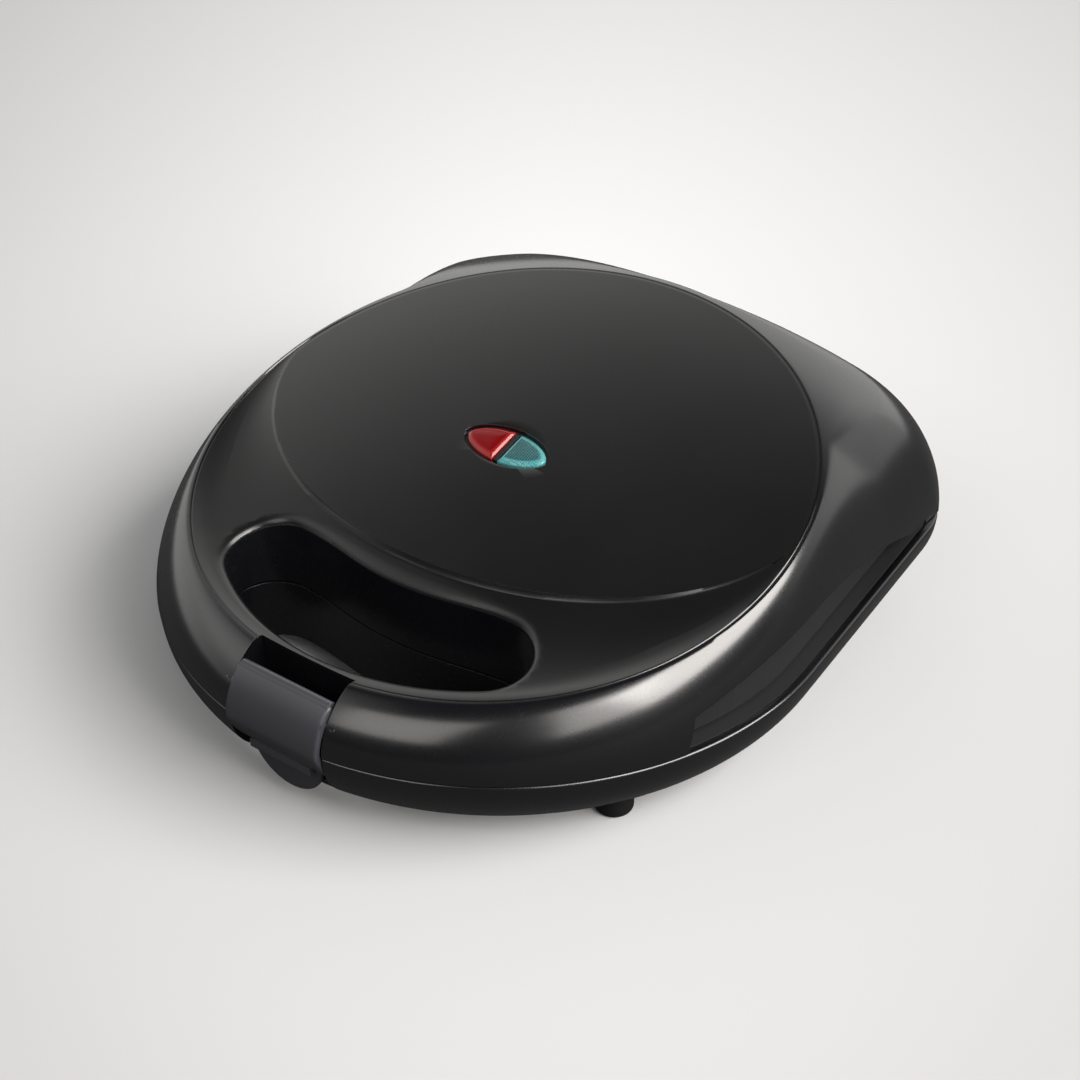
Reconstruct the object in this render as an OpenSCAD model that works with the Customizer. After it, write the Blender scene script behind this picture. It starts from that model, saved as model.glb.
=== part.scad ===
// Clamshell maker for seven small ring cakes, lid closed.
// Origin: middle of the footprint at the level of the feet. X to the right, Y to the rear, Z up.

/* [Body] */
// Width across the ring
body_w = 228; // [196:1:276]
// Depth from the front of the ring to the rear wall
body_d = 240.2; // [202:0.2:288]
// Depth of the base below the parting plane
base_h = 22; // [21.8:0.2:30]
// How far the base draws in from the parting line to its floor
base_draw_in = 18.8; // [14:0.2:20]
// Height of the lid's rim above the parting plane at the front
lid_front_h = 19.2; // [16.5:0.1:24]
// Height of the lid's rim above the parting plane at the rear
lid_rear_h = 59.6; // [48:0.2:72]
// Slope of the lid's top
top_slope = 0.24; // [0.2:0.01:0.3]
// Crown of the disc in the lid's top
dome_h = 7.5; // [4:0.1:10]
// How far each side tapers in at the rear
side_taper = 9.3; // [4:0.1:18]
// Radius of the rear corners in plan
rear_corner_r = 26; // [24:1:36]
// Radius of the lid's rounded shoulder
shoulder_r = 25.4; // [18:0.2:30]
// Wall of the two covers
wall = 2.4; // [1.8:0.1:3]
// Joint line between lid and base
part_gap = 0.6; // [0.4:0.1:1]

/* [Lid top] */
// Width of the ring beside the disc
ring_side_w = 11.3; // [9:0.1:16]
// Width of the ring in front of the crescent
ring_front_w = 14.7; // [10:0.1:18]
// Width of the ring behind the disc
ring_rear_w = 27.3; // [20:0.1:34]
// Depth of the crescent between the disc and the ring
crescent_d = 50.9; // [40:0.1:60]
// Hollow of the crescent
crescent_sag = 2.5; // [0:0.1:4]

/* [Finger slot] */
// Width of the finger slot
slot_w = 115; // [90:1:130]
// Radius of the slot's ends
slot_end_r = 14; // [10:0.5:16]
// Ring left between the slot and the crease
slot_land = 7.1; // [6:0.1:10]

/* [Side gap] */
// Height of the gap's arch above the parting plane
arch_h = 20.6; // [14:0.2:24]
// Radius of the gap's arch
arch_r = 192; // [150:2:260]
// Distance from the front of the ring to the start of the gap
arch_start = 68.4; // [56:0.1:80]
// Height of the gap along the rear
rear_gap_h = 6.7; // [5:0.1:7.4]
// How far the frame stands in from the ring at the gap
gap_inset = 8; // [7:0.5:11]

/* [Cooking plates] */
// Middle radius of a ring mould
ring_r = 15.5; // [13:0.1:15.8]
// Half width of a ring mould
ring_half_w = 8.4; // [7:0.1:8.6]
// Depth of the straight part of a mould
mould_straight = 0.8; // [0.4:0.1:1.4]
// Distance between ring centres
ring_pitch = 54; // [53:0.1:58]
// Width of the plate outside the outer rings
plate_rim_w = 3.1; // [2.4:0.1:4]
// Thickness of the cast plate
plate_t = 2; // [1.8:0.1:2.6]
// Distance from the finger slot's wall to the plate's edge
plate_setback = 3.4; // [3:0.1:6]
// Radial clearance between plate and frame
plate_clear = 0.5; // [0.3:0.1:0.6]
// Thickness of the inner frames
frame_t = 2.4; // [2:0.1:3]

/* [Heating] */
// Radius of the heater tube
heater_r = 2.2; // [1.8:0.1:2.5]
// Thickness of the heat shields
shield_t = 0.6; // [0.5:0.1:0.8]
// Radius of the thermostat's body
thermostat_r = 9; // [7:0.5:10]

/* [Indicator lamps] */
// Length of the two lenses together
lens_l = 31; // [24:0.5:36]
// Width of the lenses
lens_w = 13.6; // [10:0.2:18]
// Bar between the lenses
lens_bar = 1.6; // [1.2:0.1:2.4]
// Distance of the lenses in front of the disc's middle, negative behind
lens_fwd = -2.2; // [-10:0.1:10]

/* [Latch] */
// Width of the latch plate
latch_w = 36.2; // [28:0.2:44]
// Thickness of the latch plate
latch_t = 2.6; // [2.2:0.1:2.8]
// Side clearance of the latch in its window
latch_clear = 0.5; // [0.3:0.1:0.8]
// How far the plate stands proud of the ring
latch_proud = 0.6; // [0.4:0.1:1]
// Radius of the latch's barrel
latch_barrel_r = 3.6; // [3.2:0.1:4]
// Height of the latch pin above the parting plane
latch_pin_z = 9.2; // [7.5:0.1:10.5]
// Radius of the latch pin
latch_pin_r = 1.5; // [1.2:0.1:1.8]
// Radius of the finger tongue
tongue_r = 14; // [10:0.5:16]

/* [Hinge] */
// Distance of each hinge from the middle
hinge_x = 46; // [36:1:54]
// Radius of the hinge ears
hinge_r = 5.5; // [4.8:0.1:6]
// Radius of the hinge pins
hinge_pin_r = 2; // [1.6:0.1:2.4]
// Running clearance of the pins
pin_clear = 0.05; // [0.02:0.01:0.08]
// Width of the lid's hinge arms
arm_w = 8; // [6:0.2:10]
// Width of each ear of the base's hinge brackets
ear_w = 5; // [4:0.2:6]

/* [Feet and cord inlet] */
// Height of the feet
foot_h = 9; // [6:0.1:12]
// Radius of the feet
foot_r = 6.2; // [5:0.1:8]
// Distance of the feet from the middle, to the side
foot_x = 80; // [66:1:84]
// Radius of the cord bush's bore
cord_bore_r = 3.3; // [2.8:0.1:3.6]
// Place of the cord bush, to the right of the middle
cord_x = 66; // [62:1:68]

/* [Hidden] */
$fn = 48;
eps = 0.01;

// Heights and depths of the whole object
part_z = foot_h + base_h;
hinge_back = 0.6;
total_d = latch_proud + body_d + hinge_back + 2 * hinge_r;
front_y = -total_d / 2 + latch_proud;
rear_y = front_y + body_d;
hinge_y = rear_y + hinge_back + hinge_r;
half_gap = part_gap / 2;

// Plan outline: a front arc, two tapering sides, two rear corners and a straight rear edge
ring_big_r = body_w / 2;
ring_cy = front_y + ring_big_r;
corner_x = ring_big_r - side_taper - rear_corner_r;
corner_y = rear_y - rear_corner_r;
side_run = norm([corner_x, corner_y - ring_cy]);
side_a = atan2(corner_y - ring_cy, corner_x) - acos((ring_big_r - rear_corner_r) / side_run);
front_n = 44;
side_n = 6;
corner_n = 7;
rear_n = 8;

function arc_points(c, r, a0, a1, n) =
    [for (k = [0:n]) let (a = a0 + (a1 - a0) * k / n) [c.x + r * cos(a), c.y + r * sin(a)]];
function between(a, b, n) = [for (k = [1:n - 1]) a + (b - a) * k / n];
function outline(inset) = let (
    front = arc_points([0, ring_cy], ring_big_r - inset, 180 - side_a, 360 + side_a, front_n),
    right = arc_points([corner_x, corner_y], rear_corner_r - inset, side_a, 90, corner_n),
    left = arc_points([-corner_x, corner_y], rear_corner_r - inset, 90, 180 - side_a, corner_n))
    concat(front, between(front[front_n], right[0], side_n), right,
        between(right[corner_n], left[0], rear_n), left, between(left[corner_n], front[0], side_n));

// Rim of the lid's top: an oval on a sloping plane that lifts towards the front
loop_rx = ring_big_r - ring_side_w;
loop_ry = (body_d - ring_front_w - ring_rear_w) / 2;
loop_y = front_y + ring_front_w + loop_ry;
loop_front_y = loop_y - loop_ry;
lift_y = loop_y + loop_ry / 10;
front_lift = lid_front_h - lid_rear_h + top_slope * 2 * loop_ry;
function slope_z(y) = lid_rear_h - top_slope * (loop_y + loop_ry - y);
function rim_z(y) = slope_z(y) + front_lift * pow(max(0, lift_y - y) / (lift_y - loop_front_y), 2);
function disc_z(p) =
    slope_z(p.y) + dome_h * (1 - pow(p.x / loop_rx, 2) - pow((p.y - loop_y) / loop_ry, 2));

// Crescent: between the rim and an oval that cuts across the front of the disc
arc_y = loop_y + loop_ry * 0.24;
arc_rx = loop_rx - 1.2;
arc_ry = arc_y - loop_front_y - crescent_d;
arc_side = 0.16;
arc_max = 0.985;
function rim_reach(d, inset) = 1 / norm([d.x / (loop_rx - inset), d.y / (loop_ry - inset)]);
function arc_reach(d) = let (
    c = loop_y - arc_y,
    qa = pow(d.x / arc_rx, 2) + pow(d.y / arc_ry, 2),
    qb = 2 * c * d.y / pow(arc_ry, 2),
    qc = pow(c / arc_ry, 2) - 1)
    (-qb + sqrt(qb * qb - 4 * qa * qc)) / (2 * qa);
function arc_share(d, inset) =
    d.y / norm(d) > arc_side ? arc_max : min(arc_max, arc_reach(d) / rim_reach(d, 0));

// Lid form: rows of points from the parting plane over the shoulder to the middle of the disc
shoulder_mix = 0.28;
shoulder_fall = 0.134;
shoulder_curve = 0.006;
function shoulder_z(a, h) = h * ((1 - shoulder_mix) * cos(a) + shoulder_mix * (1 - sin(a)));
function lid_band(p, inset, drop, a, low) = let (
    d = p - [0, loop_y],
    rim = [0, loop_y] + d * rim_reach(d, inset),
    run = norm(p - rim),
    edge = min(shoulder_r, 0.9 * run),
    top = rim_z(rim.y) - drop - shoulder_fall * (run - edge) - shoulder_curve * pow(run - edge, 2),
    q = p + (rim - p) * edge / run * (1 - sin(a)))
    [q.x, q.y, low + shoulder_z(a, top - low)];
function lid_top(p, inset, drop, s) = let (
    d = p - [0, loop_y],
    reach = rim_reach(d, inset),
    share = arc_share(d, inset),
    k = share + (1 - share) * s,
    q = [0, loop_y] + d * reach * k,
    rim = [0, loop_y] + d * rim_reach(d, 0),
    arc = [0, loop_y] + d * rim_reach(d, 0) * share,
    z = (1 - s) * disc_z(arc) + s * rim_z(rim.y) - crescent_sag * 8 * s * (1 - s) * (1 - share))
    [q.x, q.y, z - drop];
function lid_disc(p, inset, drop, s) = let (
    d = p - [0, loop_y],
    q = [0, loop_y] + d * rim_reach(d, inset) * arc_share(d, inset) * s)
    [q.x, q.y, disc_z([0, loop_y] + d * rim_reach(d, 0) * arc_share(d, 0) * s) - drop];
function lid_rows(inset, drop, low, band_n, disc_n) = let (o = outline(inset)) concat(
    [for (k = [0:band_n]) [for (p = o) lid_band(p, inset, drop, 90 * (1 - k / band_n), low)]],
    [for (k = [3:-1:0]) [for (p = o) lid_top(p, inset, drop, k / 3)]],
    [for (k = [disc_n - 1:-1:1]) [for (p = o) lid_disc(p, inset, drop, k / disc_n)]]);

// Base form: rows of points from the parting plane down to the floor
function base_rows(inset, high, low, n) = [for (k = [0:n]) let (a = 90 * k / n)
    [for (p = outline(inset + base_draw_in * (1 - cos(a)))) [p.x, p.y, high - (high - low) * sin(a)]]];

// A closed body from rows of points; the first row and the last are capped
function quads(rows, n) = [for (j = [0:rows - 2]) for (i = [0:n - 1]) let (
    a = j * n + i, b = j * n + (i + 1) % n) each [[a, b + n, b], [a, a + n, b + n]]];
module skin(rows, peak, upward) {
    n = len(rows[0]);
    m = len(rows);
    points = concat([for (r = rows) each r], [peak]);
    first = [for (i = [0:n - 1]) i];
    last = [for (i = [0:n - 1]) [(m - 1) * n + i, m * n, (m - 1) * n + (i + 1) % n]];
    faces = concat([first], quads(m, n), last);
    flipped = [for (f = faces) [for (k = [len(f) - 1:-1:0]) f[k]]];
    polyhedron(points, upward ? faces : flipped, convexity = 4);
}
module lid_form(inset, drop, low, band_n = 7, disc_n = 4) {
    skin(lid_rows(inset, drop, low, band_n, disc_n), [0, loop_y, disc_z([0, loop_y]) - drop], true);
}
module base_form(inset, high, low, n = 7) {
    skin(base_rows(inset, high, low, n), [0, loop_y, low], false);
}
// Keeps what is inside as one mesh
module one_mesh() {
    resize([0, 0, 0]) children();
}
module prism(points, low, high) {
    translate([0, 0, low]) linear_extrude(high - low) polygon(points);
}
module block(low, high) {
    translate(low) cube(high - low);
}
module both_sides() {
    children();
    mirror([1, 0, 0]) children();
}
module along_x(x0, x1, y, z, r) {
    translate([x0, y, z]) rotate([0, 90, 0]) cylinder(r = r, h = x1 - x0);
}
module upright(x, y, z0, z1, r) {
    translate([x, y, z0]) cylinder(r = r, h = z1 - z0);
}
// Draws a child in the frame whose zero is the parting plane
module at_parting() {
    translate([0, 0, part_z]) children();
}

// Finger slot: a front edge that follows the crease, two round ends and a straight rear edge
slot_front_r = loop_ry - slot_land;
slot_cx = slot_w / 2 - slot_end_r;
slot_cy = loop_y - sqrt(pow(slot_front_r - slot_end_r, 2) - pow(slot_cx, 2));
slot_rear_y = slot_cy + slot_end_r;
slot_front_y = loop_y - slot_front_r;
slot_a = atan2(slot_cy - loop_y, slot_cx);
function slot_outline(grow) = concat(
    arc_points([slot_cx, slot_cy], slot_end_r + grow, slot_a, 90, 9),
    arc_points([-slot_cx, slot_cy], slot_end_r + grow, 90, 180 - slot_a, 9),
    between([0, loop_y] + (slot_front_r + grow) * [-cos(slot_a), sin(slot_a)],
        [0, loop_y] + (slot_front_r + grow) * [cos(slot_a), sin(slot_a)], 1),
    [for (k = [1:13]) let (a = 180 - slot_a + (180 + 2 * slot_a) * k / 14)
        [0, loop_y] + (slot_front_r + grow) * [cos(a), sin(a)]]);

// Cooking plate and what lines up with it
plate_r = ring_pitch + ring_r + ring_half_w + plate_rim_w;
mould_d = mould_straight + ring_half_w;
plate_back = half_gap + mould_d + plate_t;
frame_low = half_gap + 0.3;
frame_high = frame_low + frame_t;
frame_hole_r = plate_r + plate_clear;
tab_r = plate_r + 6;
tab_z = frame_high + 0.1;
tab_t = 2;
tab_head_r = 4.2;
heater_z = plate_back + heater_r + 0.15;
clip_t = 0.5;
shield_z = heater_z + heater_r + clip_t + 0.4;
shield_r = plate_r - 3;
shield_room = lid_rear_h - wall - shield_z - shield_t - 1;
plate_y = max(slot_rear_y + wall + plate_setback + plate_r,
    loop_y + loop_ry + shield_r - shield_room / top_slope);
post_r = 3.2;
post_at = ring_pitch / sqrt(3);
ring_centres = concat([[0, 0]], [for (k = [0:5]) ring_pitch * [cos(60 * k), sin(60 * k)]]);
post_angles = [30, 150, 270];
tab_angles = [20, 160, 215, 325];
screw_r = 1.5;
screw_head_r = 2.9;
screw_head_h = 1.6;

// Screw bosses of the two covers
boss_r = 4;
boss_front = [ring_big_r - 26, ring_cy - 16];
boss_rear = [corner_x + 5, corner_y + 8];
bosses = [boss_front, boss_rear];

frame_inset = wall + 0.3;

// Latch window and base notch
window_x = latch_w / 2 + latch_clear;
window_back_y = slot_front_y - wall - 0.9;
window_side = 3;
latch_pin_y = front_y + 6.2;
notch_y = front_y + 9.4;
ledge_out = 1;
ledge_low = -8;
ledge_high = -4.5;
hook_gap = 0.4;

// Side gap
arch_y = front_y + 128.6;
frame_half_w = ring_big_r - gap_inset;

plastic = "#1d1d20";
frame_black = "#2a2a2c";
cast = "#3a3a3d";
steel = "#b9bcc0";
tin = "#cfcfc8";
brass = "#c9a75a";
rubber = "#151515";
ceramic = "#e8e4da";
silicone = "#d8d4c4";

// ---- Lid ----

module lid_gap_cut() {
    far = 20;
    both_sides() intersection() {
        block([frame_half_w - 3, front_y + arch_start, -far], [body_w, rear_y + far, arch_h]);
        union() {
            along_x(0, body_w, arch_y, arch_h - arch_r, arch_r);
            block([0, arch_y, -far], [body_w, rear_y + far, rear_gap_h]);
        }
    }
    block([-body_w, corner_y + rear_corner_r / 2, -far], [body_w, rear_y + far, rear_gap_h]);
}

lens_y = loop_y - lens_fwd;
lens_z = disc_z([0, lens_y]);
lens_tilt = atan(top_slope);
lens_arc_r = (pow(lens_l / 2, 2) + pow(lens_w / 2, 2)) / lens_w;
lens_deep = 6;
lens_proud = 0.5;
lens_clear = 0.15;
// Draws a child in the frame of the lenses: zero on the disc, Z square to it
module at_lens() {
    translate([0, lens_y, lens_z]) rotate([lens_tilt, 0, 0]) children();
}
module eye(grow, low, high) {
    intersection() {
        translate([0, lens_arc_r - lens_w / 2, low]) cylinder(r = lens_arc_r + grow, h = high - low, $fn = 96);
        translate([0, lens_w / 2 - lens_arc_r, low]) cylinder(r = lens_arc_r + grow, h = high - low, $fn = 96);
    }
}

module lid_shell_parts() {
    prism(slot_outline(wall), half_gap, lid_rear_h);
    block([-window_x - window_side, front_y - 1, half_gap],
        [window_x + window_side, slot_front_y, lid_rear_h]);
    both_sides() for (b = bosses) upright(b.x, b.y, frame_high + 0.1, lid_rear_h, boss_r);
}
// Seat for the inner frame's edge, cut in the wall where the lid is low
module frame_seat() {
    difference() {
        prism(outline(frame_inset - 0.02), frame_low - 0.1, frame_high + 0.1);
        prism(outline(frame_inset + 4), frame_low - 1, frame_high + 1);
        block([-window_x - window_side - 0.1, front_y - 1, frame_low - 1],
            [window_x + window_side + 0.1, slot_front_y, frame_high + 1]);
    }
}
module top_cover() color(plastic) at_parting() difference() {
    one_mesh() difference() {
        union() {
            difference() {
                lid_form(0, 0, half_gap);
                lid_form(wall, wall, half_gap - 1, 6, 3);
            }
            intersection() {
                lid_form(0, 0, half_gap);
                lid_shell_parts();
            }
        }
        prism(slot_outline(0), -1, lid_rear_h);
        block([-window_x, front_y - 5, -1], [window_x, window_back_y, lid_rear_h]);
        lid_gap_cut();
        frame_seat();
        at_lens() eye(lens_clear, -10, 5);
        both_sides() block([hinge_x - arm_w / 2 - 0.1, rear_y - 12, arm_low - 0.1],
            [hinge_x + arm_w / 2 + 0.1, rear_y + 2, arm_high + 0.1]);
    }
    both_sides() for (b = bosses) upright(b.x, b.y, frame_high, frame_high + 9, screw_r);
    along_x(-window_x - window_side - 1, window_x + window_side + 1, latch_pin_y, latch_pin_z, latch_pin_r);
}

// The inner frame closes the lid from below and stands in from the ring at the side gaps
frame_wall_h = arch_h + 4;
module frame_hole(low, high) {
    upright(0, plate_y, low, high, frame_hole_r, $fn = 96);
    prism(slot_outline(wall + 0.3), low, high);
}
module frame_plan(low, high) {
    intersection() {
        prism(outline(frame_inset), low, high);
        union() {
            block([-body_w, front_y, low - 1], [body_w, front_y + arch_start - 8, high + 1]);
            prism(outline(gap_inset), low - 1, high + 1);
        }
    }
}
module frame_wall() {
    one_mesh() intersection() {
        lid_form(frame_inset, frame_inset, half_gap, 6, 3);
        difference() {
            prism(outline(gap_inset), frame_high - 0.4, frame_wall_h);
            prism(outline(gap_inset + frame_t), 0, frame_wall_h + 1);
            upright(0, plate_y, 0, frame_wall_h + 1, shield_r + 0.8);
            block([-body_w, front_y - 1, 0], [body_w, front_y + arch_start - 10, frame_wall_h + 1]);
        }
    }
}
screw_sink = 1.6;
module lid_inner_frame() color(frame_black) at_parting() difference() {
    union() {
        frame_plan(frame_low, frame_high);
        frame_wall();
    }
    frame_hole(-1, frame_high + 1);
    block([-window_x - window_side - 0.3, front_y - 1, -1], [window_x + window_side + 0.3, slot_front_y, 9]);
    both_sides() for (b = bosses) {
        upright(b.x, b.y, -1, frame_high + 1, screw_r + 0.2);
        upright(b.x, b.y, -1, frame_low + screw_sink, screw_head_r + 0.3);
    }
    for (a = tab_angles) upright(tab_r * cos(a), plate_y + tab_r * sin(a), -1, frame_high + 1, screw_r);
}

// A cast plate with its mould face at half_gap above the parting plane and its back upwards
module ring_back() {
    rotate_extrude() intersection() {
        translate([ring_r, mould_straight]) circle(r = ring_half_w + plate_t);
        translate([0, mould_straight]) square([ring_r + 20, 20]);
    }
    if (mould_straight > 0) rotate_extrude()
        translate([ring_r - ring_half_w - plate_t, 0]) square([2 * (ring_half_w + plate_t), mould_straight]);
}
module ring_groove() {
    rotate_extrude() intersection() {
        translate([ring_r, mould_straight]) circle(r = ring_half_w);
        translate([0, mould_straight]) square([ring_r + 20, 20]);
    }
    translate([0, 0, -1]) rotate_extrude()
        translate([ring_r - ring_half_w, 0]) square([2 * ring_half_w, mould_straight + 1]);
}
module cooking_plate() {
    translate([0, plate_y, half_gap]) difference() {
        union() {
            cylinder(r = plate_r, h = plate_t, $fn = 96);
            for (c = ring_centres) translate([c.x, c.y, 0]) ring_back();
            for (a = post_angles)
                upright(post_at * cos(a), post_at * sin(a), 0, shield_z - half_gap - 0.05, post_r);
            for (a = tab_angles) rotate([0, 0, a]) {
                block([plate_r - 6, -tab_head_r, plate_t - 0.2], [plate_r - 1, tab_head_r, tab_z - half_gap + tab_t]);
                block([plate_r - 2, -tab_head_r, tab_z - half_gap], [tab_r + tab_head_r, tab_head_r, tab_z - half_gap + tab_t]);
            }
        }
        for (c = ring_centres) translate([c.x, c.y, 0]) ring_groove();
        for (a = post_angles)
            upright(post_at * cos(a), post_at * sin(a), plate_back, shield_z, screw_r);
        for (a = tab_angles) rotate([0, 0, a]) upright(tab_r, 0, 0, 12, screw_r + 0.1);
    }
}
module upper_cooking_plate() color(cast) at_parting() cooking_plate();

// A tubular heater in one open loop with two straight ends
heater_open_a = 14;
module heater_loop() {
    translate([0, plate_y, heater_z]) {
        rotate([0, 0, 90 + heater_open_a]) rotate_extrude(angle = 360 - 2 * heater_open_a, $fn = 96)
            translate([ring_pitch, 0]) circle(r = heater_r);
        both_sides() translate([ring_pitch * sin(heater_open_a), ring_pitch * cos(heater_open_a), 0])
            rotate([90, 0, 90 - heater_open_a]) {
                translate([0, 0, -4]) cylinder(r = heater_r + 0.12, h = 5.2);
                translate([0, 0, -9]) cylinder(r = 0.9, h = 6);
            }
    }
}
module upper_heating_element() color(steel) at_parting() heater_loop();

// Clips that hold the heater tube down, under the heat shield
clip_angles = [60, 120, 240, 300];
clip_w = 8;
clip_clear = 0.2;
clip_foot = 2.2;
module heater_clips() {
    out_r = heater_r + clip_clear + clip_t;
    for (a = clip_angles) translate([0, plate_y, heater_z]) rotate([0, 0, a])
        translate([ring_pitch, clip_w / 2, 0]) rotate([90, 0, 0]) linear_extrude(clip_w) difference() {
            union() {
                circle(r = out_r);
                translate([-out_r, -heater_r]) square([2 * out_r, heater_r]);
                translate([-out_r - clip_foot, -heater_r]) square([2 * out_r + 2 * clip_foot, clip_t]);
            }
            circle(r = heater_r + clip_clear);
            translate([-heater_r - clip_clear, -2 * heater_r]) square([2 * (heater_r + clip_clear), 2 * heater_r]);
        }
}
module upper_element_clips() color(tin) at_parting() heater_clips();

// A thin dish behind the heater, with a hole for the thermostat in the upper one
module heat_shield(hole_r) {
    translate([0, plate_y, 0]) difference() {
        union() {
            upright(0, 0, shield_z, shield_z + shield_t, shield_r, $fn = 96);
            difference() {
                upright(0, 0, plate_back - 2.2, shield_z + shield_t, shield_r, $fn = 96);
                upright(0, 0, 0, shield_z + shield_t + 1, shield_r - shield_t, $fn = 96);
            }
        }
        for (a = post_angles) upright(post_at * cos(a), post_at * sin(a), 0, shield_z + 2, screw_r + 0.2);
        if (hole_r > 0) upright(0, post_at, 0, shield_z + 2, hole_r);
    }
}
module upper_heat_shield() color(tin) at_parting() heat_shield(thermostat_stem_r + 1);

// A pan-head screw: the head's underside at the given place, the shank going towards dir
module screw(x, y, z, dir, length) {
    translate([x, y, z]) mirror([0, 0, dir > 0 ? 0 : 1]) difference() {
        union() {
            translate([0, 0, -screw_head_h]) cylinder(r = screw_head_r, h = screw_head_h);
            translate([0, 0, -0.1]) cylinder(r = screw_r - 0.05, h = length + 0.1);
        }
        for (a = [0, 90]) rotate([0, 0, a])
            block([-screw_head_r * 0.7, -0.4, -screw_head_h - 1], [screw_head_r * 0.7, 0.4, -screw_head_h + 0.8]);
    }
}
module shield_screws() {
    for (a = post_angles)
        screw(post_at * cos(a), plate_y + post_at * sin(a), shield_z + shield_t + 0.02, -1, 4);
}
module plate_screws() {
    for (a = tab_angles)
        screw(tab_r * cos(a), plate_y + tab_r * sin(a), tab_z + tab_t + 0.02, -1, tab_t + frame_t - 0.3);
}
module upper_shield_screws() color(steel) at_parting() shield_screws();
module upper_plate_screws() color(steel) at_parting() plate_screws();
module lid_screws() color(steel) at_parting() both_sides()
    for (b = bosses) screw(b.x, b.y, frame_low + screw_sink - 0.02, 1, 8);

thermostat_stem_r = 4.2;
thermostat_low = half_gap + plate_t + 0.05;
thermostat_high = shield_z + shield_t + 0.4;
module thermostat() color(ceramic) at_parting() translate([0, plate_y + post_at, 0]) {
    upright(0, 0, thermostat_low, thermostat_high + 0.1, thermostat_stem_r);
    upright(0, 0, thermostat_high, thermostat_high + 6, thermostat_r);
    both_sides() block([thermostat_r - 3, -3, thermostat_high + 5.9], [thermostat_r - 2.2, 3, thermostat_high + 13]);
    upright(0, 0, thermostat_high + 5.9, thermostat_high + 8, 2);
}

// Half of the eye, filled by one lens
module lens(side) {
    at_lens() intersection() {
        union() {
            eye(0, -lens_deep, lens_proud);
            eye(1.4, -lens_deep, -wall - 0.4);
        }
        block([side > 0 ? lens_bar / 2 : -lens_l, -lens_w, -lens_deep - 1], [side > 0 ? lens_l : -lens_bar / 2, lens_w, 5]);
    }
}
module indicator_lens_red() color("#b3161b") at_parting() lens(-1);
module indicator_lens_green() color("#2f8f93") at_parting() lens(1);

// Holder under the lenses: a floor, two ends and the bar between the lenses
holder_l = lens_l - 6;
holder_w = lens_w + 1;
lamp_r = 2.2;
lamp_l = 9;
holder_floor = -lens_deep - 2 * lamp_r - 2.4;
module lamp_holder() color(ceramic) at_parting() at_lens() {
    block([-holder_l / 2, -holder_w / 2, holder_floor], [holder_l / 2, holder_w / 2, holder_floor + 1.6]);
    block([-lens_bar / 2 + 0.1, -lens_w / 2 + 0.4, holder_floor + 1.5], [lens_bar / 2 - 0.1, lens_w / 2 - 0.4, -0.6]);
    for (s = [-1, 1]) block([-holder_l / 2, s * (holder_w / 2 - 0.7) - 0.7, holder_floor + 1.5],
        [holder_l / 2, s * (holder_w / 2 - 0.7) + 0.7, -lens_deep - 0.1]);
}
module neon_lamps() color("#f0b08a") at_parting() at_lens() both_sides()
    translate([1.6, 0, holder_floor + 1.65 + lamp_r]) {
        rotate([0, 90, 0]) cylinder(r = lamp_r, h = lamp_l - 2);
        translate([lamp_l - 2, 0, 0]) sphere(r = lamp_r - 0.02);
    }

// Leads run as round tubes from point to point with balls at the bends
module lead(points, r) {
    for (k = [0:len(points) - 2]) let (d = points[k + 1] - points[k]) translate(points[k])
        rotate([0, atan2(norm([d.x, d.y]), d.z), atan2(d.y, d.x)]) cylinder(r = r, h = norm(d));
    for (k = [1:len(points) - 2]) translate(points[k]) sphere(r = r + 0.06);
}
lead_r = 0.8;
module lid_leads() color(silicone) at_parting() {
    top = thermostat_high + 13.5;
    stat_y = plate_y + post_at;
    side_x = thermostat_r - 2.6;
    under = lens_z + holder_floor;
    dip_z = min(top + 2, under + 2.5);
    for (s = [1, -1])
        lead([[s * side_x, stat_y, top - 0.45], [s * side_x, stat_y, top + 3],
            [s * (side_x + 4), lens_y + 20, dip_z], [s * 7, lens_y + 4, under - 1]], lead_r);
}

module latch_pin() color(steel) at_parting()
    along_x(-window_x - window_side + 0.1, window_x + window_side - 0.1, latch_pin_y, latch_pin_z, latch_pin_r - 0.01);

// Hinge arm of the lid: a block through the rear wall, a curved neck and a barrel on the pin
arm_low = rear_gap_h + 2;
arm_high = arm_low + 11;
module lid_hinge_arms() color(plastic) at_parting() both_sides() difference() {
    translate([hinge_x - arm_w / 2, 0, 0]) rotate([90, 0, 90]) linear_extrude(arm_w) union() {
        polygon([[rear_y - 6, arm_low], [rear_y + 0.6, arm_low], [hinge_y - hinge_r * 0.75, 1.2],
            [hinge_y, 0], [hinge_y + hinge_r * 0.7, hinge_r * 0.7], [rear_y + 1.5, arm_high], [rear_y - 6, arm_high]]);
        translate([hinge_y, 0]) circle(r = hinge_r);
    }
    along_x(hinge_x - arm_w, hinge_x + arm_w, hinge_y, 0, hinge_pin_r + pin_clear);
}

// ---- Latch ----

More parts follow.
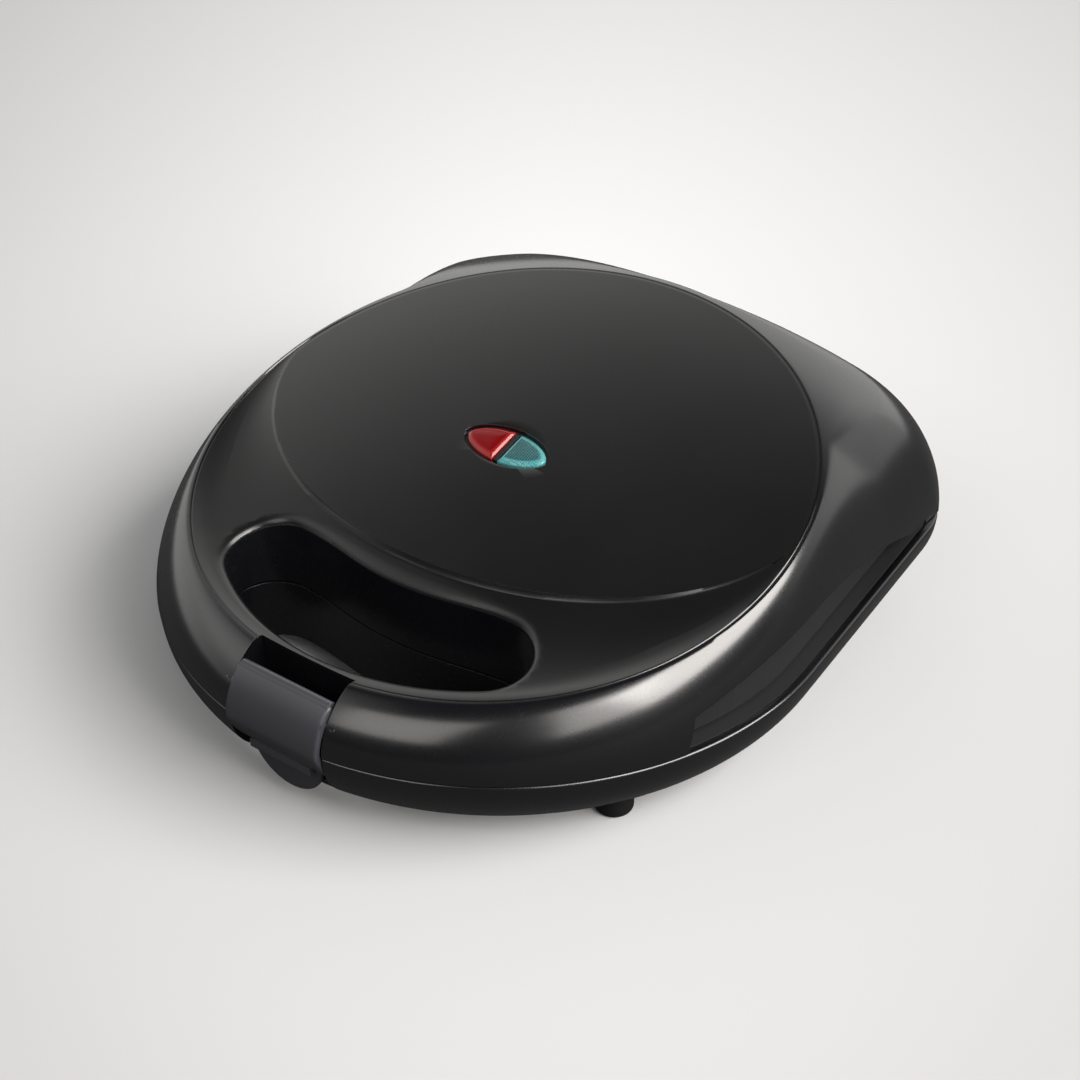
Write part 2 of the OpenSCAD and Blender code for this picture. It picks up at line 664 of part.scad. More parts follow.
// Outer profile of the latch in the YZ plane: it follows the ring, then the base
function front_profile(a) = let (p = lid_band([0, front_y], 0, 0, a, half_gap)) [p.y - latch_proud, p.z];
fold_a = 26;
latch_lean = 3.4;
function base_profile(a) =
    [front_y - latch_proud + base_draw_in * (1 - cos(a)) + latch_lean * sin(a) / sin(fold_a), -base_h * sin(a)];
function left_of(d) = [-d.y, d.x] / norm(d);
function shifted(p, t) = [for (k = [0:len(p) - 1])
    p[k] + t * left_of(p[min(k + 1, len(p) - 1)] - p[max(k - 1, 0)])];
latch_face = concat([for (a = [25:7.5:85]) front_profile(a)], [for (a = [0:6.5:fold_a]) base_profile(a)]);
latch_back = shifted(latch_face, latch_t);
fold = latch_face[len(latch_face) - 1];
tongue_tilt = 4;
tongue_set = 1.2;
module latch() color(plastic) at_parting() difference() {
    union() {
        translate([-latch_w / 2, 0, 0]) rotate([90, 0, 90]) linear_extrude(latch_w)
            polygon(concat(latch_face, [for (k = [len(latch_back) - 1:-1:0]) latch_back[k]]));
        along_x(-latch_w / 2, latch_w / 2, latch_pin_y, latch_pin_z, latch_barrel_r);
        translate([0, fold.x + tongue_set, fold.y]) rotate([tongue_tilt - 90, 0, 0]) {
            translate([0, 0, 0.05]) intersection() {
                cylinder(r = tongue_r, h = latch_t - 0.6);
                block([-tongue_r, -2, -1], [tongue_r, tongue_r, latch_t]);
            }
        }
        block([-latch_w / 3, front_y + 1.4, ledge_low - 3.2],
            [latch_w / 3, notch_y - ledge_out - hook_gap, ledge_low - 0.4]);
    }
    along_x(-latch_w, latch_w, latch_pin_y, latch_pin_z, latch_pin_r + pin_clear);
}

// ---- Base ----

module bottom_cover() color(plastic) at_parting() difference() {
    one_mesh() difference() {
        union() {
            difference() {
                base_form(0.4, -half_gap, -base_h);
                base_form(0.4 + wall, 1, wall - base_h);
            }
            intersection() {
                base_form(0.4, -half_gap, -base_h);
                union() {
                    prism(slot_outline(wall), -base_h, -half_gap);
                    block([-window_x - window_side, front_y, -base_h], [window_x + window_side, notch_y + 3, -half_gap]);
                    both_sides() for (b = bosses) upright(b.x, b.y, -base_h, -frame_high - 0.1, boss_r);
                    both_sides() for (s = [-1, 1]) upright(foot_x, foot_y(s), -base_h, wall - base_h + 3, 4.5);
                }
            }
            both_sides() for (s = [-1, 1]) upright(foot_x, foot_y(s), -base_h, -base_h + 2.6, foot_r + 0.6);
        }
        prism(slot_outline(0), -base_h - 1, 1);
        difference() {
            block([-window_x, front_y - 5, -base_h - 1], [window_x, notch_y, 1]);
            block([-latch_w / 3, notch_y - ledge_out, ledge_low], [latch_w / 3, notch_y + 1, ledge_high]);
        }
        both_sides() block([bracket_x0 - 0.1, rear_y - 8, bracket_low - 0.1],
            [bracket_x1 + 0.1, rear_y + 2, bracket_high + 0.1]);
    }
    both_sides() for (b = bosses) {
        upright(b.x, b.y, -base_h - 1, -frame_high + 1, screw_r + 0.2);
        upright(b.x, b.y, -base_h - 1, -base_h + 5, screw_head_r + 0.4);
    }
    both_sides() for (s = [-1, 1]) upright(foot_x, foot_y(s), -base_h - 1, wall - base_h + 5, screw_r);
    translate([cord_x, rear_y + 2, cord_z]) rotate([90, 0, 0]) cylinder(r = bush_body_r + 0.1, h = 14);
}

module base_inner_frame() color(frame_black) at_parting() difference() {
    intersection() {
        prism(outline(frame_inset + 0.6), -frame_high, -frame_low);
        block([-body_w, front_y, -10], [body_w, rear_y - 3, 0]);
    }
    frame_hole(-frame_high - 1, 1);
    block([-window_x - window_side - 0.3, front_y - 1, -9], [window_x + window_side + 0.3, slot_front_y, 1]);
    both_sides() for (b = bosses) upright(b.x, b.y, -frame_high - 1, -frame_low - 1, screw_r);
    for (a = tab_angles) upright(tab_r * cos(a), plate_y + tab_r * sin(a), -frame_high - 1, 1, screw_r);
    both_sides() block([bracket_x0 - 0.2, rear_y - 9, -10], [bracket_x1 + 0.2, rear_y, 1]);
}

// What sits under the parting plane is the upper set mirrored
module below() {
    mirror([0, 0, 1]) children();
}
module lower_cooking_plate() color(cast) at_parting() below() cooking_plate();
module lower_heating_element() color(steel) at_parting() below() heater_loop();
module lower_element_clips() color(tin) at_parting() below() heater_clips();
module lower_heat_shield() color(tin) at_parting() below() heat_shield(0);
module lower_shield_screws() color(steel) at_parting() below() shield_screws();
module lower_plate_screws() color(steel) at_parting() below() plate_screws();
module base_screws() color(steel) at_parting() both_sides()
    for (b = bosses) screw(b.x, b.y, -base_h + 5 - 0.02, 1, base_h - 5 - frame_high + frame_t - 1.2);

floor_z = wall - base_h;
block_at = [-ring_big_r + 29.2, max(plate_y - 12, boss_front.y + boss_r + 16)];
module terminal_block() color(ceramic) at_parting() translate([block_at.x, block_at.y, floor_z + 0.05]) difference() {
    union() {
        block([-6, -14, 0], [6, 14, 8]);
        for (y = [-9, 0, 9]) block([-4, y - 3, 7.9], [4, y + 3, 10.5]);
    }
    for (y = [-9, 0, 9]) {
        translate([-7, y, 5]) rotate([0, 90, 0]) cylinder(r = 1.3, h = 14);
        upright(0, y, 6, 12, 1.6);
    }
}
fuse_at = [ring_big_r - 26, plate_y - 4];
fuse_r = 2.4;
module thermal_fuse() color(silicone) at_parting() translate([fuse_at.x, fuse_at.y, floor_z + fuse_r + 0.05])
    rotate([90, 0, 0]) {
        translate([0, 0, -11]) cylinder(r = fuse_r, h = 22);
        translate([0, 0, -14]) cylinder(r = 0.9, h = 28);
    }
module base_leads() color(silicone) at_parting() {
    z = floor_z + lead_r + 0.12;
    y = block_at.y - 9;
    lead([[fuse_at.x, fuse_at.y - 14.05, floor_z + fuse_r], [fuse_at.x - 1, y, z],
        [block_at.x + 7.9, y, z], [block_at.x + 7.4, y, floor_z + 5], [block_at.x + 2, y, floor_z + 5]], lead_r);
}

// Rubber bush in the rear wall, open for a supply cord
bush_body_r = 5.2;
bush_flange_r = 7;
bush_inner_r = 6.4;
cord_z = -frame_high - bush_inner_r - 0.2;
bush_l = 15.6;
bush_y = rear_y + 1.6;
module cord_bush() color(rubber) at_parting() translate([cord_x, bush_y, cord_z]) rotate([90, 0, 0]) difference() {
    union() {
        cylinder(r = bush_flange_r, h = 2);
        cylinder(r = bush_body_r, h = bush_l);
        translate([0, 0, bush_l - 2.7]) cylinder(r = bush_inner_r, h = 2.4);
    }
    translate([0, 0, -1]) cylinder(r = cord_bore_r, h = bush_l + 2);
}

// Feet: rounded rubber buttons with a recessed screw
foot_front_y = front_y + 65;
foot_rear_y = corner_y - 6;
function foot_y(s) = s < 0 ? foot_front_y : foot_rear_y;
foot_round = 1.8;
module feet() color(rubber) both_sides() for (s = [-1, 1]) translate([foot_x, foot_y(s), 0]) difference() {
    rotate_extrude() difference() {
        union() {
            square([foot_r, foot_h - 0.05]);
        }
        translate([foot_r - foot_round, 0]) difference() {
            translate([0, -eps]) square([foot_round + eps, foot_round + eps]);
            translate([0, foot_round]) circle(r = foot_round);
        }
    }
    translate([0, 0, -1]) cylinder(r = screw_head_r + 0.3, h = 1 + foot_h - 3.4);
    cylinder(r = screw_r + 0.1, h = foot_h + 1);
}
module foot_screws() color(steel) both_sides() for (s = [-1, 1])
    screw(foot_x, foot_y(s), foot_h - 3.4, 1, 3.4 + 4.5);

// Hinge brackets of the base: a block through the rear wall and two ears
bracket_x0 = hinge_x - arm_w / 2 - 0.3 - ear_w;
bracket_x1 = hinge_x + arm_w / 2 + 0.3 + ear_w;
bracket_low = -14;
bracket_high = -frame_high - 0.3;
module bracket_side() {
    rotate([90, 0, 90]) linear_extrude(ear_w) union() {
        polygon([[rear_y - 4, bracket_low], [rear_y - 4, bracket_high], [hinge_y - hinge_r * 0.72, bracket_high + 0.4],
            [hinge_y, 0], [hinge_y + hinge_r * 0.8, -hinge_r * 0.6], [rear_y + 2, bracket_low]]);
        translate([hinge_y, 0]) circle(r = hinge_r);
    }
}
module base_hinge_brackets() color(plastic) at_parting() both_sides() difference() {
    union() {
        translate([bracket_x0, 0, 0]) bracket_side();
        translate([bracket_x1 - ear_w, 0, 0]) bracket_side();
        block([bracket_x0, rear_y - 5, bracket_low], [bracket_x1, rear_y + 0.2, bracket_high]);
    }
    along_x(bracket_x0 - 1, bracket_x1 + 1, hinge_y, 0, hinge_pin_r + 0.01);
}
module hinge_pins() color(steel) at_parting() both_sides()
    along_x(bracket_x0 + 0.2, bracket_x1 - 0.2, hinge_y, 0, hinge_pin_r);

top_cover();
lid_inner_frame();
upper_cooking_plate();
upper_heating_element();
upper_element_clips();
upper_heat_shield();
upper_shield_screws();
upper_plate_screws();
lid_screws();
thermostat();
indicator_lens_red();
indicator_lens_green();
neon_lamps();
lamp_holder();
lid_leads();
latch_pin();
lid_hinge_arms();
latch();
bottom_cover();
base_inner_frame();
lower_cooking_plate();
lower_heating_element();
lower_element_clips();
lower_heat_shield();
lower_shield_screws();
lower_plate_screws();
base_screws();
terminal_block();
thermal_fuse();
base_leads();
cord_bush();
feet();
foot_screws();
base_hinge_brackets();
hinge_pins();
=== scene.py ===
# Clamshell maker for ring cakes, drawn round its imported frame. Lengths in the dictionaries are millimetres.
import bpy
import bmesh
import math
import numpy as np
from mathutils import Matrix, Vector


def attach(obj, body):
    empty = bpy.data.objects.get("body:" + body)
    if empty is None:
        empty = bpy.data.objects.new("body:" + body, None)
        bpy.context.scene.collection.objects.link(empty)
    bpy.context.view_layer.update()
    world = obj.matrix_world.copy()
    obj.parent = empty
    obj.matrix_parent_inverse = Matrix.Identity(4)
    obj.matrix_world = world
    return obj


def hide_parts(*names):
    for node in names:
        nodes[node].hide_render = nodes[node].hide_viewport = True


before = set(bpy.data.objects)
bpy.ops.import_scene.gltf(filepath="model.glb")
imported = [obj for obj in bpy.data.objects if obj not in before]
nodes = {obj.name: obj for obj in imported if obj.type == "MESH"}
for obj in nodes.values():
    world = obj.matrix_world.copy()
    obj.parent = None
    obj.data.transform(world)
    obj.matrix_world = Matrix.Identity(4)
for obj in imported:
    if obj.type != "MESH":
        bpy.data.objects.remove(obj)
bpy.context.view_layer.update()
mm = 0.001
inMm = 1000.0  # the shaders' coordinates are in metres
print("frame loaded:", len(nodes), "nodes")

# ---- camera ----

cameraValues = {
    "azimuth": 36.76, "elevation": 34.91, "distance": 740, "target": (2.72, 4.89, 31), "lens": 73.33,
}


def addCamera(values):
    a, e = math.radians(values["azimuth"]), math.radians(values["elevation"])
    back = Vector((math.sin(a) * math.cos(e), -math.cos(a) * math.cos(e), math.sin(e)))
    data = bpy.data.cameras.new("viewCamera")
    data.sensor_width = 36
    data.lens = values["lens"]
    camera = bpy.data.objects.new("viewCamera", data)
    bpy.context.scene.collection.objects.link(camera)
    camera.location = (Vector(values["target"]) + back * values["distance"]) * mm
    camera.rotation_euler = back.to_track_quat("Z", "Y").to_euler()
    bpy.context.scene.camera = camera


addCamera(cameraValues)

# ---- shader maths ----


class Value:
    def __init__(self, maker, socket):
        self.maker, self.socket = maker, socket

    def calc(self, operation, a, b=None, clamp=False):
        inputs = {0: a} if b is None else {0: a, 1: b}
        return self.maker.node("ShaderNodeMath", {"operation": operation, "use_clamp": clamp}, inputs)

    def __add__(self, other): return self.calc("ADD", self, other)
    def __radd__(self, other): return self.calc("ADD", other, self)
    def __sub__(self, other): return self.calc("SUBTRACT", self, other)
    def __rsub__(self, other): return self.calc("SUBTRACT", other, self)
    def __mul__(self, other): return self.calc("MULTIPLY", self, other)
    def __rmul__(self, other): return self.calc("MULTIPLY", other, self)
    def __truediv__(self, other): return self.calc("DIVIDE", self, other)
    def __rtruediv__(self, other): return self.calc("DIVIDE", other, self)
    def __pow__(self, other): return self.calc("POWER", self, other)
    def __rpow__(self, other): return self.calc("POWER", other, self)
    def __abs__(self): return self.calc("ABSOLUTE", self)
    def clamped(self): return self.calc("ADD", self, 0.0, True)
    def sine(self): return self.calc("SINE", self)


# A material's node tree, or the world's when its tree is given
class Finish:
    def __init__(self, name="", tree=None):
        self.tree = tree
        if tree is None:
            self.material = bpy.data.materials.new(name)
            self.material.use_nodes = True
            self.tree = self.material.node_tree
            self.tree.nodes.clear()
            self.output = self.tree.nodes.new("ShaderNodeOutputMaterial")

    def node(self, kind, settings=None, inputs=None, output=0):
        made = self.tree.nodes.new(kind)
        for key, value in (settings or {}).items():
            setattr(made, key, value)
        for key, value in (inputs or {}).items():
            if isinstance(value, Value):
                self.tree.links.new(value.socket, made.inputs[key])
            else:
                made.inputs[key].default_value = value
        return Value(self, made.outputs[output])

    def place(self, scale=(1, 1, 1)):
        spot = self.node("ShaderNodeTexCoord", output=3)
        return self.node("ShaderNodeMapping", {}, {"Vector": spot, "Scale": scale})

    def part(self, axis):
        spot = self.node("ShaderNodeTexCoord", output=3)
        return self.node("ShaderNodeSeparateXYZ", {}, {0: spot}, output="XYZ".index(axis))

    def noise(self, scale, detail=3.0, rough=0.5, place=None):
        place = place or self.place()
        inputs = {"Vector": place, "Scale": scale, "Detail": detail, "Roughness": rough}
        return self.node("ShaderNodeTexNoise", {}, inputs)

    def mixed(self, mask, low, high):
        return self.node("ShaderNodeMix", {"data_type": "RGBA"}, {0: mask, 6: low, 7: high}, output=2)

    def highest(self, a, b):
        return self.node("ShaderNodeMath", {"operation": "MAXIMUM"}, {0: a, 1: b})

    def spread(self, value, low, high, out0=0.0, out1=1.0):
        return self.node("ShaderNodeMapRange", {}, {0: value, 1: low, 2: high, 3: out0, 4: out1})

    def bump(self, height, distance, strength=1.0, normal=None):
        inputs = {"Height": height, "Distance": distance, "Strength": strength}
        if normal is not None:
            inputs["Normal"] = normal
        return self.node("ShaderNodeBump", {}, inputs)

    def roundEdge(self, radius):
        return self.node("ShaderNodeBevel", {"samples": 4}, {"Radius": radius})

    def surface(self, **sockets):
        names = {"color": "Base Color", "rough": "Roughness", "metal": "Metallic", "normal": "Normal",
                 "coat": "Coat Weight", "coatRough": "Coat Roughness", "coatIor": "Coat IOR",
                 "specular": "Specular IOR Level", "glow": "Emission Color", "glowPower": "Emission Strength"}
        made = self.node("ShaderNodeBsdfPrincipled", {}, {names[k]: v for k, v in sockets.items()})
        self.tree.links.new(made.socket, self.output.inputs["Surface"])
        return self.material


def grey(level):
    return (level, level, level, 1)


def shade(colour, share):
    return tuple(c * share for c in colour[:3]) + (1,)


# Moulded plastic: faint flow in the gloss, a fine skin, and a few dull specks
def plasticFinish(name, colour, rough, skin, skinSize, coat=0.0, coatRough=0.05, edge=0.0,
                  specular=0.5, coatIor=1.5):
    f = Finish(name)
    flow = f.noise(14, 2, 0.5)
    speck = f.noise(420, 2, 0.6)
    dull = f.spread(speck, 0.62, 0.78)
    tint = f.mixed(f.spread(flow, 0.3, 0.7), shade(colour, 0.86), shade(colour, 1.12))
    roughness = (f.spread(flow, 0.3, 0.7, rough * 0.9, rough * 1.12) + dull * (rough * 0.25)).clamped()
    grain = f.noise(skinSize, 3, 0.55)
    normal = f.bump(grain, skin, 0.35, f.roundEdge(edge) if edge else None)
    return f.surface(color=tint, rough=roughness, normal=normal, coat=coat, coatRough=coatRough,
                     coatIor=coatIor, specular=specular)


def metalFinish(name, colour, rough, lay=(40, 40, 40), depth=0.00002, edge=0.0):
    f = Finish(name)
    brush = f.noise(30, 4, 0.6, f.place(lay))
    stain = f.noise(60, 3, 0.6)
    tint = f.mixed(f.spread(stain, 0.35, 0.7), colour, shade(colour, 0.8))
    roughness = f.spread(brush, 0.25, 0.75, rough * 0.8, rough * 1.25)
    normal = f.bump(brush, depth, 0.4, f.roundEdge(edge) if edge else None)
    return f.surface(color=tint, rough=roughness, metal=1.0, normal=normal)


glossBlack = plasticFinish("glossBlackPlastic", (0.0042, 0.0046, 0.0062, 1), 0.25, 0.00001, 900,
                           1.0, 0.19, 0.0005, coatIor=1.75)
discBlack = plasticFinish("satinDiscPlastic", (0.0062, 0.0063, 0.0067, 1), 0.3, 0.00001, 1100, 0.6, 0.24)
satinBlack = plasticFinish("satinBlackPlastic", (0.06, 0.0612, 0.073, 1), 0.34, 0.00002, 1400,
                           0.8, 0.26, 0.0005)
frameBlack = plasticFinish("mattBlackFrame", (0.016, 0.0165, 0.0175, 1), 0.55, 0.00012, 1100, edge=0.0004)
rubberBlack = plasticFinish("blackRubber", (0.012, 0.012, 0.0125, 1), 0.42, 0.00004, 1500, edge=0.0004)
castCoat = plasticFinish("nonstickCoat", (0.022, 0.022, 0.024, 1), 0.38, 0.00006, 1800,
                         edge=0.0005, specular=0.7)
ceramicWhite = plasticFinish("ceramic", (0.66, 0.62, 0.54, 1), 0.5, 0.00003, 900, edge=0.0003)
siliconeCover = plasticFinish("siliconeCover", (0.5, 0.47, 0.38, 1), 0.5, 0.00003, 1300)
screwSteel = metalFinish("zincSteel", (0.55, 0.56, 0.58, 1), 0.3, edge=0.0002)
heaterSteel = metalFinish("heaterSteel", (0.3, 0.27, 0.24, 1), 0.38)
sheetTin = metalFinish("sheetTin", (0.6, 0.6, 0.58, 1), 0.3, (4, 60, 4))
print("finishes made")

# ---- body form ----

bodyValues = {
    "frontY": -125.6, "rearY": 114.6, "bigR": 114, "cornerR": 26, "sideTaper": 9.3, "shoulderR": 25.4,
    "shoulderMost": 0.9, "partZ": 31, "halfGap": 0.3, "wall": 2.4, "baseH": 22, "drawIn": 18.8, "baseStep": 0.2,
}
topValues = {
    "rimFront": 19.2, "rimRear": 59.6, "slope": 0.24, "dome": 7.5, "ringSide": 11.3, "ringFront": 14.7,
    "ringRear": 27.3, "crescent": 50.9, "sag": 2.5, "groove": 0.7, "grooveW": 0.65,
    "round": 0.28, "fall": 0.134, "curve": 0.006, "lip": 1.1, "lipW": 9.0, "step": 0.5, "stepW": 0.9,
    "arcRise": 0.24, "arcInset": 1.2, "arcMost": 0.985, "arcEnd": 0.16, "open": 2.6, "shut": 0.08,
    "spreadRun": 26, "satinShare": 0.997, "satinLow": 12, "satinUp": 0.5,
}
partZ = bodyValues["partZ"]
frontY, rearY = bodyValues["frontY"], bodyValues["rearY"]
ringCy = frontY + bodyValues["bigR"]
cornerX = bodyValues["bigR"] - bodyValues["sideTaper"] - bodyValues["cornerR"]
cornerY = rearY - bodyValues["cornerR"]
sideRun = math.hypot(cornerX, cornerY - ringCy)
sideA = math.atan2(cornerY - ringCy, cornerX)
sideA -= math.acos((bodyValues["bigR"] - bodyValues["cornerR"]) / sideRun)
loopRx = bodyValues["bigR"] - topValues["ringSide"]
loopRy = (rearY - frontY - topValues["ringFront"] - topValues["ringRear"]) / 2
loopY = frontY + topValues["ringFront"] + loopRy
loopFront = loopY - loopRy
liftY = loopY + loopRy / 10
frontLift = topValues["rimFront"] - topValues["rimRear"] + topValues["slope"] * 2 * loopRy
arcY = loopY + loopRy * topValues["arcRise"]
arcRx = loopRx - topValues["arcInset"]
arcRy = arcY - loopFront - topValues["crescent"]


def smooth(t):
    return t * t * (3 - 2 * t)


def arcPoints(cx, cy, r, a0, a1, n):
    a = np.linspace(a0, a1, n + 1)
    return np.stack([cx + r * np.cos(a), cy + r * np.sin(a)], 1)


def between(a, b, n):
    t = np.linspace(0, 1, n + 1)[1:-1, None]
    return a + (b - a) * t


def outline(inset, counts=(150, 22, 22, 30)):
    frontN, sideN, cornerN, rearN = counts
    big, small = bodyValues["bigR"] - inset, bodyValues["cornerR"] - inset
    front = arcPoints(0, ringCy, big, math.pi - sideA, 2 * math.pi + sideA, frontN)
    right = arcPoints(cornerX, cornerY, small, sideA, math.pi / 2, cornerN)
    left = arcPoints(-cornerX, cornerY, small, math.pi / 2, math.pi - sideA, cornerN)
    return np.concatenate([front, between(front[-1], right[0], sideN), right,
                           between(right[-1], left[0], rearN), left, between(left[-1], front[0], sideN)])


def slopeZ(y):
    return topValues["rimRear"] - topValues["slope"] * (loopY + loopRy - y)


def rimZ(y):
    return slopeZ(y) + frontLift * (np.maximum(0, liftY - y) / (liftY - loopFront)) ** 2


def discZ(x, y):
    return slopeZ(y) + topValues["dome"] * (1 - (x / loopRx) ** 2 - ((y - loopY) / loopRy) ** 2)


def loopReach(d, inset=0.0):
    return 1 / np.hypot(d[:, 0] / (loopRx - inset), d[:, 1] / (loopRy - inset))


def arcShare(d):
    c = loopY - arcY
    qa = (d[:, 0] / arcRx) ** 2 + (d[:, 1] / arcRy) ** 2
    qb = 2 * c * d[:, 1] / arcRy ** 2
    qc = (c / arcRy) ** 2 - 1
    reach = (-qb + np.sqrt(qb * qb - 4 * qa * qc)) / (2 * qa)
    share = np.minimum(topValues["arcMost"], reach / loopReach(d))
    behind = d[:, 1] / np.hypot(d[:, 0], d[:, 1]) > topValues["arcEnd"]
    return np.where(behind, topValues["arcMost"], share)


# Height of the lid's top at plan points inside the rim
def topZ(p):
    d = p - np.array([0, loopY])
    r = np.hypot(d[:, 0], d[:, 1])
    u = d / np.maximum(r, 1e-6)[:, None]
    reach = loopReach(u)
    share = arcShare(u)
    t = np.minimum(r / reach, 1)
    s = np.clip((t - share) / (1 - share), 0, 1)
    arc = u * (reach * share)[:, None]
    rim = u * reach[:, None]
    zArc = discZ(arc[:, 0], arc[:, 1] + loopY)
    valley = (1 - s) * zArc + s * rimZ(rim[:, 1] + loopY) - topValues["sag"] * 8 * s * (1 - s) * (1 - share)
    width = np.clip((1 - share) * topValues["open"] - topValues["shut"], 0, 1)  # 0 where the crescent closes
    near = np.clip(1 - (1 - t) * reach / topValues["lipW"], 0, 1)
    past = np.clip((t - share) * reach / topValues["stepW"], 0, 1)
    valley -= width * (1 - near ** 2) * (topValues["lip"] * past + topValues["step"] * smooth(past))
    return np.where(t <= share, discZ(p[:, 0], p[:, 1]), valley)


# How far the ring's top falls outwards from the rim
def ringFall(rest):
    return topValues["fall"] * rest + topValues["curve"] * rest ** 2


# For plan points of the outline: the rim points, the run out to them, and the shoulder's share of it
def rimRun(p, inset):
    d = p - np.array([0, loopY])
    rim = np.array([0, loopY]) + d * loopReach(d, inset)[:, None]
    run = np.hypot(*(p - rim).T)
    return rim, run, np.minimum(bodyValues["shoulderR"], bodyValues["shoulderMost"] * run)


def bandRow(p, inset, drop, angle, low):
    rim, run, edge = rimRun(p, inset)
    top = rimZ(rim[:, 1]) - drop - ringFall(run - edge)
    q = p + (rim - p) * (edge / run * (1 - math.sin(angle)))[:, None]
    rise = (1 - topValues["round"]) * math.cos(angle) + topValues["round"] * (1 - math.sin(angle))
    return np.column_stack([q, low + (top - low) * rise])


def shoulderToRim(p, inset, drop, s):
    rim, run, edge = rimRun(p, inset)
    a = p + (rim - p) * (edge / run)[:, None]
    s = np.full(len(p), 1.0) * s
    z = rimZ(rim[:, 1]) - drop - ringFall((run - edge) * (1 - s))
    return np.column_stack([a + (rim - a) * s[:, None], z])


def topRow(p, inset, drop, share, dip=0.0):
    d = p - np.array([0, loopY])
    q = d * (loopReach(d, inset) * share)[:, None]
    full = d * (loopReach(d) * share)[:, None]
    at = full + np.array([0, loopY])
    return np.column_stack([q + np.array([0, loopY]), topZ(at) - drop - dip])


# Rows from the parting line up the band, over the rim and the crescent, and in over the disc
def lidRows(inset, drop, low, counts, bandN, crescentN, discN, fine):
    p = outline(inset, counts)
    d = p - np.array([0, loopY])
    share = arcShare(d)
    reach = loopReach(d) * np.hypot(d[:, 0], d[:, 1])
    rows = [bandRow(p, inset, drop, math.pi / 2 * (1 - k / bandN), low) for k in range(bandN + 1)]
    ahead = np.clip((0.55 - d[:, 1] / np.hypot(d[:, 0], d[:, 1])) / 0.75, 0, 1)
    groove = topValues["groove"] * smooth(ahead)  # the crease runs out towards the rear
    w = topValues["grooveW"]
    room = (1 - share) * reach  # crescent's width on each ray
    flank = w / reach * np.minimum(1, room / (3 * w))
    if fine:
        for s in (0.35, 0.65):
            rows.append(shoulderToRim(p, inset, drop, s))
        rim, run, edge = rimRun(p, inset)
        rest = np.maximum(run - edge, 0.3)
        for back, dip in ((2.2, 0), (1.0, 0), (0.5, 0.3)):
            a = shoulderToRim(p, inset, drop, np.maximum(1 - back * w / rest, 0.72))
            a[:, 2] -= groove * dip * 0.2
            rows.append(a)
        rows.append(topRow(p, inset, drop, np.ones(len(p)), groove))
        for back, dip in ((0.5, 0.3), (1.0, 0)):
            rows.append(topRow(p, inset, drop, 1 - back * flank, groove * dip))
        for back in (2.5, 4.5, 6.5, 8.8):
            rows.append(topRow(p, inset, drop, 1 - back / reach * np.minimum(1, room / topValues["spreadRun"])))
    else:
        rows.append(topRow(p, inset, drop, np.ones(len(p))))
    for k in range(crescentN - (3 if fine else 1), 0, -1):
        inner = share + (1 - share) * (k / crescentN)
        rows.append(topRow(p, inset, drop, np.minimum(inner, 1 - 1.5 * flank)))
    if fine:
        for out in (1.6, 1.1, 0.6):
            rows.append(topRow(p, inset, drop, share + np.minimum(out / reach, (1 - share) * 0.12 * out)))
    rows.append(topRow(p, inset, drop, share))
    if fine:
        for past in (0.6, 1.8):
            rows.append(topRow(p, inset, drop, share - past / reach))
    for k in range(discN - 1, 0, -1):
        rows.append(topRow(p, inset, drop, share * k / discN * (0.985 if k == discN - 1 else 1)))
    return rows


def baseRows(inset, high, low, counts, n):
    rows = []
    for k in range(n + 1):
        a = math.pi / 2 * k / n
        p = outline(inset + bodyValues["drawIn"] * (1 - math.cos(a)), counts)
        rows.append(np.column_stack([p, np.full(len(p), high - (high - low) * math.sin(a))]))
    return rows


# ---- mesh helpers ----


def makeObject(name, points, faces, finish=None):
    mesh = bpy.data.meshes.new(name)
    mesh.from_pydata([tuple(float(v) * mm for v in p) for p in points], [], faces)
    mesh.validate()
    mesh.update()
    made = bpy.data.objects.new(name, mesh)
    bpy.context.scene.collection.objects.link(made)
    if finish:
        mesh.materials.append(finish)
    for polygon in mesh.polygons:
        polygon.use_smooth = True
    return made


def recalc(made):
    bm = bmesh.new()
    bm.from_mesh(made.data)
    bmesh.ops.recalc_face_normals(bm, faces=bm.faces)
    bm.to_mesh(made.data)
    bm.free()
    return made


# Rows of points become a skin; the last row can end in a peak
def loft(name, rows, capFirst=False, capLast=False, peak=None):
    n = len(rows[0])
    points = [p for row in rows for p in row]
    faces = []
    for j in range(len(rows) - 1):
        for i in range(n):
            a, b = j * n + i, j * n + (i + 1) % n
            faces.append((a, b, b + n, a + n))
    last = (len(rows) - 1) * n
    if capFirst:
        faces.append(tuple(range(n - 1, -1, -1)))
    if capLast:
        faces.append(tuple(last + i for i in range(n)))
    if peak is not None:
        points.append(peak)
        faces += [(last + i, last + (i + 1) % n, len(points) - 1) for i in range(n)]
    return recalc(makeObject(name, points, faces))


def lift(rows, z):
    return [np.column_stack([r[:, 0], r[:, 1], r[:, 2] + z]) for r in rows]


def boxObject(name, low, high):
    x0, y0, z0 = low
    x1, y1, z1 = high
    points = [(x, y, z) for z in (z0, z1) for y in (y0, y1) for x in (x0, x1)]
    faces = [(0, 2, 3, 1), (4, 5, 7, 6), (0, 1, 5, 4), (2, 6, 7, 3), (0, 4, 6, 2), (1, 3, 7, 5)]
    return makeObject(name, points, faces)


def prismObject(name, plan, low, high):
    rows = [np.column_stack([plan, np.full(len(plan), z)]) for z in (low, high)]
    return loft(name, rows, capFirst=True, capLast=True)


